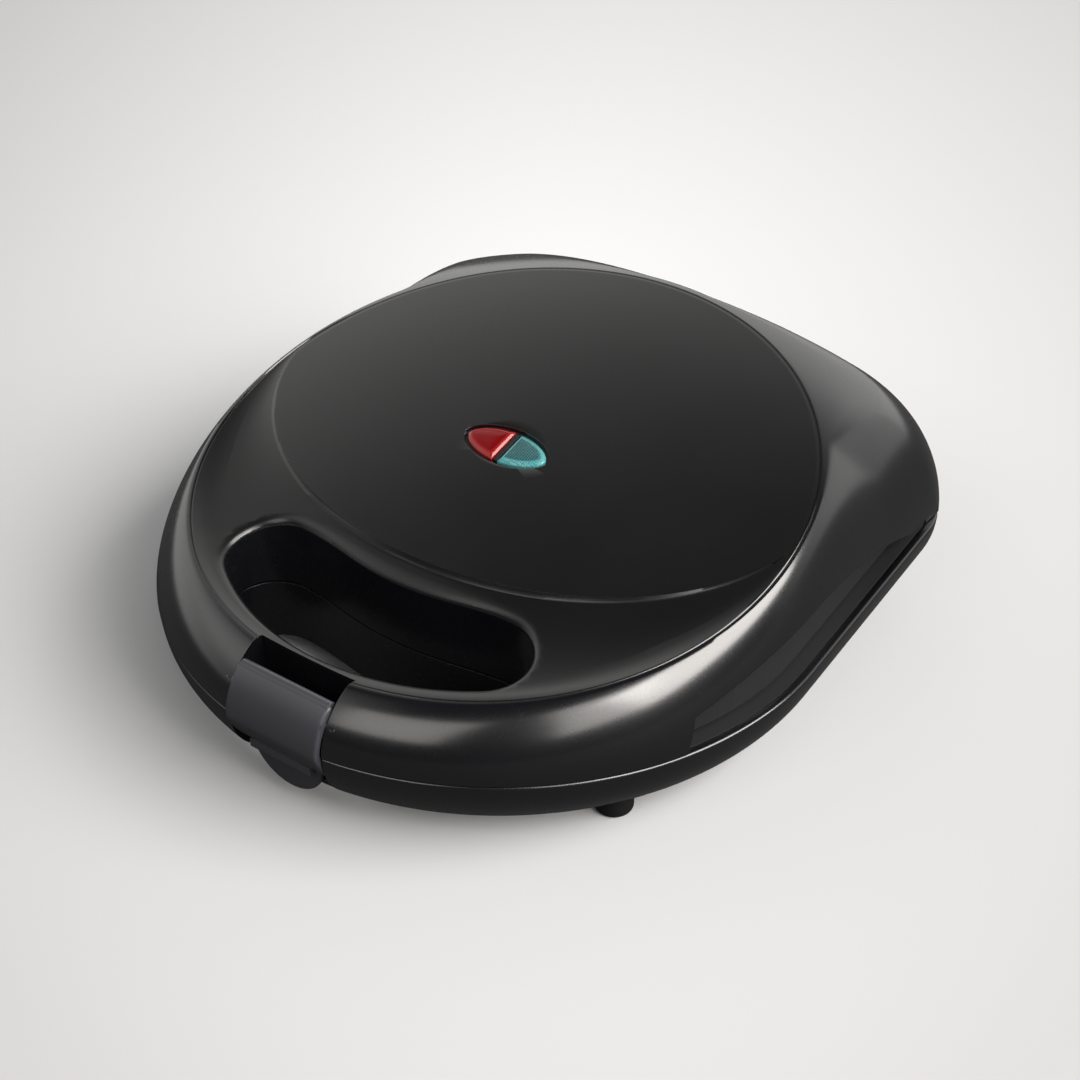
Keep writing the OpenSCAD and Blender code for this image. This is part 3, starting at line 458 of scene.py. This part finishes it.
def rodObject(name, start, end, radius, n=48):
    start, end = Vector(start), Vector(end)
    along = (end - start).normalized()
    side = along.orthogonal().normalized()
    up = along.cross(side)
    turns = np.linspace(0, 2 * math.pi, n, endpoint=False)
    ring = [side * (radius * math.cos(t)) + up * (radius * math.sin(t)) for t in turns]
    rows = [np.array([tuple(start + r) for r in ring]), np.array([tuple(end + r) for r in ring])]
    return loft(name, rows, capFirst=True, capLast=True)


def applied(made):
    graph = bpy.context.evaluated_depsgraph_get()
    mesh = bpy.data.meshes.new_from_object(made.evaluated_get(graph))
    made.modifiers.clear()
    old = made.data
    made.data = mesh
    bpy.data.meshes.remove(old)
    return made


def carve(made, tool, operation="DIFFERENCE"):
    step = made.modifiers.new("carve", "BOOLEAN")
    step.operation = operation
    step.solver = "EXACT"
    step.object = tool
    applied(made)
    bpy.data.objects.remove(tool)
    return made


def dress(made, name, finish, angle=32):
    made.name = name
    made.data.name = name
    made.data.materials.clear()
    made.data.materials.append(finish)
    for polygon in made.data.polygons:
        polygon.use_smooth = True
        polygon.material_index = 0
    made.data.set_sharp_from_angle(angle=math.radians(angle))
    return made


# ---- finger slot ----

slotValues = {"width": 115, "endR": 14, "land": 7.1, "round": 2.6, "bow": 5.0, "roll": 1.1}
slotFrontR = loopRy - slotValues["land"]
slotCx = slotValues["width"] / 2 - slotValues["endR"]
slotCy = loopY - math.sqrt((slotFrontR - slotValues["endR"]) ** 2 - slotCx ** 2)
slotFrontY = loopY - slotFrontR
slotA = math.atan2(slotCy - loopY, slotCx)


# With bow, the rear wall comes forward in the middle and its rim rolls wider there
def slotPlan(grow, bow=0.0, ends=16, front=56, rear=40):
    right = arcPoints(slotCx, slotCy, slotValues["endR"] + grow, slotA, math.pi / 2, ends)
    left = arcPoints(-slotCx, slotCy, slotValues["endR"] + grow, math.pi / 2, math.pi - slotA, ends)
    arc = arcPoints(0, loopY, slotFrontR + grow, math.pi - slotA, 2 * math.pi + slotA, front)[1:-1]
    back = np.array(between(right[-1], left[0], rear))
    middle = (1 - (back[:, 0] / slotCx) ** 2) ** 2
    back[:, 1] += middle * (grow * slotValues["roll"] - slotValues["bow"]) * bow
    return np.concatenate([right, back, left, arc])


# Cutter whose wall rolls out over the lid's top
def slotCutter():
    r = slotValues["round"]
    plan = slotPlan(0, 1)
    rows = [np.column_stack([plan, np.full(len(plan), partZ - 5.0)])]
    for k in range(9):
        t = math.pi / 2 * (1 - k / 8)
        ring = slotPlan(r * (1 - math.sin(t)), 1)
        rows.append(np.column_stack([ring, topZ(ring) - r * (1 - math.cos(t)) + partZ]))
    out = slotPlan(r + 0.6, 1)
    rows.append(np.column_stack([out, topZ(out) + partZ + 0.15]))
    rows.append(np.column_stack([out, np.full(len(out), partZ + 70.0)]))
    return loft("slotCutter", rows, capFirst=True, capLast=True)


# Draws the widest part of a shell in a hair, to the CAD width
def drawSides(shell, start=0.1, share=0.0168):
    for vertex in shell.data.vertices:
        past = abs(vertex.co.x) - start
        if past > 0:
            vertex.co.x -= math.copysign(past * share, vertex.co.x)


# ---- lid ----

latchValues = {
    "width": 36.2, "clear": 0.5, "thick": 2.6, "proud": 0.6, "pinZ": 9.2, "pinY": 6.2, "barrelR": 3.6,
    "pinR": 1.5, "pinDeep": 2.0, "topA": 25, "foldA": 26, "lean": 3.4, "tongueR": 14, "tongueTilt": 4,
    "tongueSet": 1.2, "notch": 9.4, "bead": 2.2, "hookIn": 3.0, "hookBack": 1.4, "hookLow": 11.2,
    "hookHigh": 8.4,
}
windowX = latchValues["width"] / 2 + latchValues["clear"]
windowBackY = slotFrontY - bodyValues["wall"] - 0.9
gapValues = {"archH": 20.6, "archR": 192, "start": 68.4, "rearH": 6.7, "inset": 8, "middle": 128.6,
             "endR": 2.6, "endZ": 3.0}
lensValues = {"grid": 0.85, "length": 31, "width": 13.6, "bar": 1.6, "forward": -2.2}
armValues = {"x": 46, "width": 8, "low": 8.7, "high": 19.7}
fitGap = 0.1  # left round the arms and the brackets
eyeSteps = [(0.1, -12), (0.1, -1.55), (1.15, -1.5), (1.25, -0.5),
            (1.45, -0.14), (1.9, 0.02), (2.4, 0.2), (2.4, 6)]
outerCounts, innerCounts = (150, 22, 22, 30), (60, 8, 10, 12)

lensY = loopY - lensValues["forward"]
lensTilt = math.atan(topValues["slope"])
lensPlace = Matrix.Translation((0, lensY, discZ(0, lensY) + partZ)) @ Matrix.Rotation(lensTilt, 4, "X")


# A box on each side of the middle, from x0 to x1 out
def pairOfBoxes(name, x0, x1, y, z):
    for side in (-1, 1):
        left, right = sorted((side * x0, side * x1))
        yield boxObject(name, (left, y[0], z[0]), (right, y[1], z[1]))


# Half-width of the lens oval at x, grown outwards by an amount
def eyeHalf(x, grow):
    share = 1 - (np.abs(x) / (lensValues["length"] / 2 - 0.2 + grow)) ** 2
    return (lensValues["width"] / 2 + grow) * np.maximum(share, 0) ** 0.58


def eyePlan(grow, n=40):
    reach = lensValues["length"] / 2 - 0.2 + grow
    xs = -reach * np.cos(np.linspace(0, math.pi, n, endpoint=False))
    top = np.column_stack([-xs, eyeHalf(xs, grow)])
    return np.concatenate([top, -top])


def inLensFrame(points):
    return np.array([tuple(lensPlace @ Vector(p)) for p in points])


def eyeLoft(name, steps):
    rows = [inLensFrame([(x, y, z) for x, y in eyePlan(grow)]) for grow, z in steps]
    return loft(name, rows, capFirst=True, capLast=True)


def lidSolid(name, inset, counts, bands, fine, low=None):
    rows = lidRows(inset, inset, bodyValues["halfGap"] if low is None else low, counts, *bands, fine)
    crown = discZ(0, loopY) - inset + partZ
    return loft(name, lift(rows, partZ), capFirst=True, peak=(0, loopY, crown))


# The side gaps rise along an arch and run out at the rear; their front end is rounded
def lidGapCutters():
    far = 30
    made = []
    y0 = frontY + gapValues["start"]
    archY = frontY + gapValues["middle"]
    archR = gapValues["archR"]
    top = []
    for y in np.linspace(y0, rearY + far, 72):
        under = archR ** 2 - (y - archY) ** 2
        z = gapValues["archH"] - archR + math.sqrt(max(under, 1)) if abs(y - archY) < archR else -far
        if y > archY:
            z = max(z, gapValues["rearH"])
        lip = min(1, (y - y0) / gapValues["endR"])
        z = min(z, gapValues["endZ"] + (z - gapValues["endZ"]) * math.sqrt(max(0, 1 - (1 - lip) ** 2)))
        top.append((y, z))
    profile = [(y0, -far)] + top + [(rearY + far, -far)]
    for side in (-1, 1):
        rows = [np.array([(side * x, y, z + partZ) for y, z in profile])
                for x in (bodyValues["bigR"] - gapValues["inset"] - 4, 140)]
        made.append(loft("gapCutter", rows, capFirst=True, capLast=True))
    return made


def makeLid():
    wall, low = bodyValues["wall"], bodyValues["halfGap"]
    shell = lidSolid("lidOuter", 0, outerCounts, (26, 10, 14), True)
    shell = carve(shell, lidSolid("lidInner", wall, innerCounts, (10, 4, 6), False, -2.0))
    slotTube = prismObject("slotTube", slotPlan(wall), partZ + low + 0.01, partZ + 70)
    windowBlock = boxObject("windowBlock", (-windowX - 3, frontY - 2, partZ + low + 0.02),
                            (windowX + 3, slotFrontY + 0.01, partZ + 60))
    slotTube = carve(slotTube, windowBlock, "UNION")
    core = lidSolid("lidMiddle", wall / 2, innerCounts, (12, 5, 7), False, low)
    shell = carve(shell, carve(core, slotTube, "INTERSECT"), "UNION")
    shell = carve(shell, slotCutter())
    window = boxObject("windowCut", (-windowX, frontY - 6, partZ - 3), (windowX, windowBackY, partZ + 70))
    shell = carve(shell, window)
    for cutter in lidGapCutters():
        shell = carve(shell, cutter)
    shell = carve(shell, boxObject("rearGap", (-150, cornerY + bodyValues["cornerR"] / 2, partZ - 20),
                                   (150, rearY + 30, partZ + gapValues["rearH"])))
    shell = carve(shell, eyeLoft("eyeCut", eyeSteps))
    x, half = armValues["x"], armValues["width"] / 2 + fitGap
    z = (partZ + armValues["low"] - fitGap, partZ + armValues["high"] + fitGap)
    for cutter in pairOfBoxes("armCut", x - half, x + half, (rearY - 12, rearY + 2), z):
        shell = carve(shell, cutter)
    deep = windowX + latchValues["pinDeep"]
    y, z = frontY + latchValues["pinY"], partZ + latchValues["pinZ"]
    shell = carve(shell, rodObject("pinCut", (-deep, y, z), (deep, y, z), latchValues["pinR"]))
    drawSides(shell)
    dress(shell, "lidShell", glossBlack)
    shell.data.materials.append(discBlack)
    for polygon in shell.data.polygons:  # the disc and the crescent are satin, the ring is glossy
        x, y, z = polygon.center / mm
        inside = math.hypot(x / loopRx, (y - loopY) / loopRy) < topValues["satinShare"]
        if z > partZ + topValues["satinLow"] and inside and polygon.normal.z > topValues["satinUp"]:
            polygon.material_index = 1
    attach(shell, "lid")
    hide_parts("top_cover")
    print("lid shell made:", len(shell.data.polygons), "faces")


makeLid()

# ---- base ----

footValues = {"x": 80, "frontY": 65, "rearBack": 6, "radius": 6.2, "pad": 0.6, "padH": 2.4}
cordValues = {"x": 66, "z": -9.6, "hole": 5.3}
wellValues = {"side": 26, "frontY": 16, "rearX": 5, "rearY": 8, "radius": 3.3}
bracketValues = {"x0": 36.7, "x1": 55.3, "low": -14, "high": -3.3}


def makeBase():
    step = bodyValues["baseStep"]
    high, low = partZ - bodyValues["halfGap"], partZ - bodyValues["baseH"]
    rows = baseRows(step, high, low, outerCounts, 22)
    lip = [np.column_stack([outline(step + away, outerCounts), np.full(len(rows[0]), high - down)])
           for away, down in ((0.75, 0), (0.5, 0.08), (0.22, 0.3), (0.06, 0.6))]
    rows = lip + [np.column_stack([rows[0][:, :2], np.full(len(rows[0]), high - 0.95)])] + rows[1:]
    shell = loft("baseOuter", rows, capFirst=True, capLast=True)
    inner = baseRows(step + bodyValues["wall"], high + 2, low + bodyValues["wall"], innerCounts, 9)
    shell = carve(shell, loft("baseInner", inner, capFirst=True, capLast=True))
    tube = prismObject("slotTubeLow", slotPlan(bodyValues["wall"]), low + 0.4, high - 0.02)
    notchY = frontY + latchValues["notch"]
    block = boxObject("notchBlock", (-windowX - 3, frontY - 2, low + 0.3),
                      (windowX + 3, notchY + 3, high - 0.03))
    middle = baseRows(step + 1.2, high + 1, low + 1.2, innerCounts, 12)
    core = loft("baseMiddle", middle, capFirst=True, capLast=True)
    shell = carve(shell, carve(core, carve(tube, block, "UNION"), "INTERSECT"), "UNION")
    shell = carve(shell, prismObject("slotCutLow", slotPlan(0, 1), low - 5, high + 5))
    shell = carve(shell, boxObject("notchCut", (-windowX, frontY - 6, low - 5), (windowX, notchY, high + 5)))
    z = (partZ + bracketValues["low"] - fitGap, partZ + bracketValues["high"] + fitGap)
    x0, x1 = bracketValues["x0"] - fitGap, bracketValues["x1"] + fitGap
    for cutter in pairOfBoxes("bracketCut", x0, x1, (rearY - 8, rearY + 2), z):
        shell = carve(shell, cutter)
    x, z = cordValues["x"], partZ + cordValues["z"]
    shell = carve(shell, rodObject("cordCut", (x, rearY - 12, z), (x, rearY + 3, z), cordValues["hole"]))
    wells = ((bodyValues["bigR"] - wellValues["side"], ringCy - wellValues["frontY"]),
             (cornerX + wellValues["rearX"], cornerY + wellValues["rearY"]))
    for side in (-1, 1):
        for x, y in wells:
            well = rodObject("screwWell", (side * x, y, low - 1), (side * x, y, low + 5), wellValues["radius"])
            shell = carve(shell, well)
    padR = footValues["radius"] + footValues["pad"]
    for side in (-1, 1):
        x = side * footValues["x"]
        for y in (frontY + footValues["frontY"], cornerY - footValues["rearBack"]):
            pad = rodObject("footPad", (x, y, low), (x, y, low + footValues["padH"]), padR)
            shell = carve(shell, pad, "UNION")
    drawSides(shell)
    dress(shell, "baseShell", glossBlack)
    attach(shell, "base")
    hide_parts("bottom_cover")
    print("base shell made:", len(shell.data.polygons), "faces")


makeBase()

# ---- latch ----


# The latch face follows the lid's band, then the base, with a lean outwards
def faceProfile(topA, steps=26, lowSteps=12):
    points = []
    for k in range(steps):
        angle = math.radians(topA + (88 - topA) * k / (steps - 1))
        row = bandRow(np.array([[0.0, frontY]]), 0, 0, angle, bodyValues["halfGap"])[0]
        points.append((row[1] - latchValues["proud"], row[2]))
    foldA = math.radians(latchValues["foldA"])
    for k in range(lowSteps):
        a = foldA * k / (lowSteps - 1)
        lean = latchValues["lean"] * math.sin(a) / math.sin(foldA)
        y = frontY - latchValues["proud"] + bodyValues["drawIn"] * (1 - math.cos(a)) + lean
        points.append((y, -bodyValues["baseH"] * math.sin(a)))
    return np.array(points)


def sideways(points):
    run = np.gradient(points, axis=0)
    run /= np.hypot(run[:, 0], run[:, 1])[:, None]
    return np.column_stack([-run[:, 1], run[:, 0]])


# A closed band from the outer face, a rolled top edge and the inner face
def latchSection(inset):
    face = faceProfile(latchValues["topA"] + 4)
    out = sideways(face)
    thick = latchValues["thick"]
    outer = face + out * inset
    inner = face + out * (thick - inset)
    r = thick / 2 - inset
    middle = face[0] + out[0] * thick / 2
    along = (face[0] - face[1]) / np.hypot(*(face[0] - face[1]))
    roll = [middle + out[0] * r * math.cos(t) + along * (r * 1.25) * math.sin(t)
            for t in np.linspace(0, math.pi, 11)[1:-1]]
    lowMid = face[-1] + out[-1] * thick / 2
    down = (face[-1] - face[-2]) / np.hypot(*(face[-1] - face[-2]))
    lowRoll = [lowMid - out[-1] * r * math.cos(t) + down * (0.5 - inset) * math.sin(t)
               for t in np.linspace(0, math.pi, 9)[1:-1]]
    return np.concatenate([outer, lowRoll, inner[::-1], roll])


def tonguePlan(shrink, n=40):
    r = latchValues["tongueR"] - shrink
    arc = [(r * math.cos(t), r * math.sin(t)) for t in np.linspace(0, math.pi, n)]
    return arc + [(-r, -2.0), (r, -2.0)]


def makeLatch():
    half = latchValues["width"] / 2
    stations = [(-half, 0.55), (-half + 0.12, 0.3), (-half + 0.35, 0.1), (-half + 0.75, 0.0)]
    flat = [(x, 0.0) for x in np.linspace(-half + 2, half - 2, 9)]
    stations += flat + [(-x, i) for x, i in reversed(stations)]
    rows = []
    for x, inset in stations:
        section = latchSection(inset)
        rows.append(np.column_stack([np.full(len(section), x), section[:, 0], section[:, 1] + partZ]))
    plate = loft("latchPlate", rows, capFirst=True, capLast=True)
    face = faceProfile(latchValues["topA"])
    tilt = math.radians(latchValues["tongueTilt"])
    steps = [(0.05, 0.6), (0.15, 0.25), (0.4, 0.06), (0.7, 0), (1.4, 0), (1.75, 0.08), (1.95, 0.3), (2.05, 0.7)]
    rows = []
    for depth, shrink in steps:
        y0 = face[-1, 0] + latchValues["tongueSet"] + depth * math.cos(tilt)
        z0 = face[-1, 1] + partZ + depth * math.sin(tilt)
        plan = tonguePlan(shrink)
        rows.append(np.array([(x, y0 + y * math.sin(tilt), z0 - y * math.cos(tilt)) for x, y in plan]))
    tongue = loft("latchTongue", rows, capFirst=True, capLast=True)
    y, z = frontY + latchValues["pinY"], partZ + latchValues["pinZ"]
    barrel = rodObject("latchBarrel", (-half, y, z), (half, y, z), latchValues["barrelR"], 56)
    r = latchValues["bead"]
    inward = sideways(face)[0]
    spot = (face[0] + inward * r) + np.array([0, partZ])
    bead = rodObject("latchBead", (-half + 0.5, spot[0], spot[1]), (half - 0.5, spot[0], spot[1]), r, 40)
    third = latchValues["width"] / 3
    y0, y1 = frontY + latchValues["hookIn"], frontY + latchValues["notch"] - latchValues["hookBack"]
    hook = boxObject("latchHook", (-third, y0, partZ - latchValues["hookLow"]),
                     (third, y1, partZ - latchValues["hookHigh"]))
    body = plate
    for part in (tongue, barrel, bead, hook):
        body = carve(body, part, "UNION")
    body = carve(body, rodObject("latchBore", (-half - 1, y, z), (half + 1, y, z), latchValues["pinR"] + 0.05))
    dress(body, "latchPlate", satinBlack, 40)
    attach(body, "latch")
    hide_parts("latch")
    print("latch made:", len(body.data.polygons), "faces")


makeLatch()

# ---- indicator lenses ----


# Half of the oval between the bar and one tip
def halfEye(side, grow, n=30):
    reach = lensValues["length"] / 2 - 0.2 + grow
    x0 = lensValues["bar"] / 2 + 0.35 - grow * 0.8
    xs = x0 + (reach - x0) * np.sin(np.linspace(0, math.pi / 2, n))
    top = np.column_stack([xs, eyeHalf(xs, grow)])
    low = top[-2::-1] * np.array([1, -1])
    ys = np.linspace(low[-1][1], top[0][1], 16)[1:-1]
    flat = np.column_stack([np.full(len(ys), x0), ys])
    return np.concatenate([top, low, flat]) * np.array([side, 1])


def makeLens(name, side, node, finish):
    steps = [(0, -6.0), (0, -2.9), (1.2, -2.85), (1.2, -2.6), (0, -2.55), (0, -0.9), (-0.05, -0.6),
             (-0.2, -0.42), (-1.25, 0.22), (-1.45, 0.3), (-1.75, 0.26), (-2.4, 0.32), (-3.4, 0.42)]
    rows = [inLensFrame([(x, y, z) for x, y in halfEye(side, grow)]) for grow, z in steps]
    middle = halfEye(side, -3.4).mean(0)
    for share, z in ((0.66, 0.47), (0.33, 0.5)):
        plan = (halfEye(side, -3.4) - middle) * share + middle
        rows.append(inLensFrame([(x, y, z) for x, y in plan]))
    lens = loft(name, rows, capFirst=True, peak=tuple(inLensFrame([(middle[0], middle[1], 0.5)])[0]))
    dress(lens, name, finish, 50)
    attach(lens, "lid")
    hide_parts(node)


# Clear coloured plastic over a fine moulded grid, with a painted highlight along its bevels
def lensFinish(name, deep, rimHighlight, grid):
    f = Finish(name)
    x = f.part("X") * inMm
    y = (f.part("Y") * inMm - lensY) / math.cos(lensTilt)
    pitch = math.pi / lensValues["grid"]
    lines = f.spread(abs((x * pitch).sine()) * abs((y * pitch).sine()), 0.0, 0.4)
    reach = lensValues["length"] / 2 - 1.9
    oval = (x / reach) ** 2 + (abs(y) / (lensValues["width"] / 2 - 1.7)) ** 1.75
    bevel = f.spread(oval, 0.86, 1.06)
    bar = f.spread(abs(x), lensValues["bar"] / 2 + 1.9, lensValues["bar"] / 2 + 1.6)
    rim = (bevel + bar).clamped()
    cell = f.mixed(lines * grid + (1 - grid), shade(deep, 1.9), deep)
    flow = f.noise(130, 2)
    # painted highlight: along the bevels and the edge by the bar the colour turns paler
    tint = f.mixed(rim * f.spread(flow, 0.3, 0.6, 0.75, 1.0), cell, rimHighlight)
    normal = f.bump(lines, 0.00015, grid)
    return f.surface(color=tint, rough=0.14, normal=normal, coat=0.5, coatRough=0.03, specular=0.5)


redLens = lensFinish("redLens", (0.2, 0.002, 0.004, 1), (0.36, 0.012, 0.012, 1), 0.0)
makeLens("lensRed", -1, "indicator_lens_red", redLens)
tealLens = lensFinish("tealLens", (0.016, 0.1, 0.11, 1), (0.1, 0.42, 0.44, 1), 0.8)
makeLens("lensTeal", 1, "indicator_lens_green", tealLens)
print("lenses made")

# ---- carried-over nodes ----

nodeFinish = {
    "lid_inner_frame": frameBlack, "base_inner_frame": frameBlack,
    "upper_cooking_plate": castCoat, "lower_cooking_plate": castCoat,
    "upper_heating_element": heaterSteel, "lower_heating_element": heaterSteel,
    "upper_element_clips": sheetTin, "lower_element_clips": sheetTin,
    "upper_heat_shield": sheetTin, "lower_heat_shield": sheetTin,
    "upper_shield_screws": screwSteel, "lower_shield_screws": screwSteel,
    "upper_plate_screws": screwSteel, "lower_plate_screws": screwSteel,
    "lid_screws": screwSteel, "base_screws": screwSteel, "foot_screws": screwSteel,
    "latch_pin": screwSteel, "hinge_pins": screwSteel, "thermostat": ceramicWhite, "lamp_holder": frameBlack,
    "terminal_block": ceramicWhite, "thermal_fuse": siliconeCover, "lid_leads": siliconeCover,
    "base_leads": siliconeCover, "neon_lamps": ceramicWhite, "cord_bush": rubberBlack, "feet": rubberBlack,
    "lid_hinge_arms": glossBlack, "base_hinge_brackets": glossBlack,
}
for name, finish in nodeFinish.items():
    slots = nodes[name].material_slots
    for each in slots:
        each.material = finish
    if not slots:
        nodes[name].data.materials.append(finish)
print("node finishes set")

# ---- room and lights ----

roomValues = {
    "floorSize": 6000, "floor": (0.825, 0.84, 0.86, 1), "paintedCornerShade": (0.62, 0.63, 0.645, 1),
    "aim": 36.76, "middle": 145, "near": 100, "far": 760, "liftFar": 700, "foot": (125, 230),
    "across": 3.67, "down": 0.64, "start": 0.757, "widen": 0.0007, "least": 0.25, "cloud": 12.0,
    "unseen": 0.02, "shine": 0.06, "lift": 0.11,
}
worldValues = {
    "colour": (1.0, 0.99, 0.97, 1), "backdrop": 0.62,
    "sweep": (0.47, 0.86), "rearLow": 0.8, "overhead": 0.03,
    "rearWay": (0.65, 0.76), "rearFade": (-0.25, 0.6), "frontShare": 0.05,
    "leftWay": (0.604, 0.472, 0.643), "leftFade": (0.88, 0.985), "left": 0.42,
}
lampColour = (1.0, 0.965, 0.925)
lightValues = {
    "right": {"azimuth": 101, "elevation": 38, "away": 3200, "size": (3300, 2100), "level": 6.9},
    "nearRight": {"azimuth": 61, "elevation": 38, "away": 3200, "size": (1300, 2100), "level": 2.6},
    "front": {"azimuth": -2, "elevation": 38, "away": 3200, "size": (1700, 1700), "level": 1.7},
}


# The floor is pale where it is seen, and much dimmer in what it throws back and in the gloss; its colour
# carries a painted pool of light with painted shade towards the corners, and a painted glow for the camera
def makeRoom():
    f = Finish("paleFloor")
    cloud = f.noise(1.2, 2, 0.5)
    x, y = f.part("X") * inMm, f.part("Y") * inMm
    aim = math.radians(roomValues["aim"])
    across = x * math.cos(aim) + y * math.sin(aim)
    down = x * math.sin(aim) - y * math.cos(aim) + roomValues["middle"]
    pool = (across * across * roomValues["across"] + down * down * roomValues["down"]) ** 0.5
    opening = f.highest(roomValues["start"] - down * roomValues["widen"], roomValues["least"])
    pool = pool / opening + cloud * roomValues["cloud"]  # the pool of light widens away from the front
    near = roomValues["near"]
    # painted pool of light: the floor's colour is pale in the middle of the pool and fades to a darker painted
    # shade towards the corners
    paintedPool = f.mixed(f.spread(pool, near, roomValues["far"]), roomValues["floor"], roomValues["paintedCornerShade"])
    clear = f.spread((x * x + y * y) ** 0.5, *roomValues["foot"])
    lift = f.spread(pool, near, roomValues["liftFar"], 1.0, 0.0) * clear
    ray = f.node("ShaderNodeLightPath", output=0)
    shine = f.node("ShaderNodeLightPath", output=3)
    through = f.node("ShaderNodeLightPath", output=6)
    direct = (ray + through + shine * roomValues["shine"]).clamped()
    # painted glow: camera rays see the floor lifted round the pool of light, but not under the object
    glow = f.mixed(ray * lift, grey(0.0), grey(roomValues["lift"]))
    color = f.mixed(direct, grey(roomValues["unseen"]), paintedPool)
    f.surface(color=color, rough=0.9, specular=0.1, glow=glow, glowPower=1.0)
    size = roomValues["floorSize"]
    corners = [(-size, -size, 0), (size, -size, 0), (size, size, 0), (-size, size, 0)]
    floor = makeObject("studioFloor", corners, [(0, 1, 2, 3)], f.material)


# Pale behind and to the left up to a swept edge, dark elsewhere
def makeWorld():
    world = bpy.data.worlds.new("studioWorld")
    bpy.context.scene.world = world
    world.use_nodes = True
    f = Finish(tree=world.node_tree)
    way = f.node("ShaderNodeTexCoord", output=0)
    x, y, z = [f.node("ShaderNodeSeparateXYZ", {}, {0: way}, output=k) for k in range(3)]
    rise = f.spread(z, *worldValues["sweep"], worldValues["rearLow"], worldValues["overhead"])
    wayX, wayY = worldValues["rearWay"]
    side = f.spread(y * wayY - x * wayX, *worldValues["rearFade"], worldValues["frontShare"], 1.0)
    wayX, wayY, wayZ = worldValues["leftWay"]
    left = f.spread(z * wayZ - y * wayY - x * wayX, *worldValues["leftFade"], 0.0, worldValues["left"])
    back = world.node_tree.nodes["Background"]
    back.inputs["Color"].default_value = worldValues["colour"]
    ray = f.node("ShaderNodeLightPath", output=0)
    strength = (rise * side + left) * (1 - ray) + ray * worldValues["backdrop"]
    f.tree.links.new(strength.socket, back.inputs["Strength"])


def softLight(name, values):
    a, e = math.radians(values["azimuth"]), math.radians(values["elevation"])
    way = Vector((math.sin(a) * math.cos(e), -math.cos(a) * math.cos(e), math.sin(e)))
    data = bpy.data.lights.new(name, "AREA")
    data.shape = "RECTANGLE"
    data.size, data.size_y = values["size"][0] * mm, values["size"][1] * mm
    data.energy = values["level"] * math.pi * data.size * data.size_y
    data.color = lampColour
    lamp = bpy.data.objects.new(name, data)
    bpy.context.scene.collection.objects.link(lamp)
    lamp.location = way * values["away"] * mm
    lamp.rotation_euler = way.to_track_quat("Z", "Y").to_euler()


makeRoom()
makeWorld()
for name, values in lightValues.items():
    softLight(name + "Softbox", values)
bpy.context.scene.view_settings.view_transform = "Standard"
print("room and lights made")
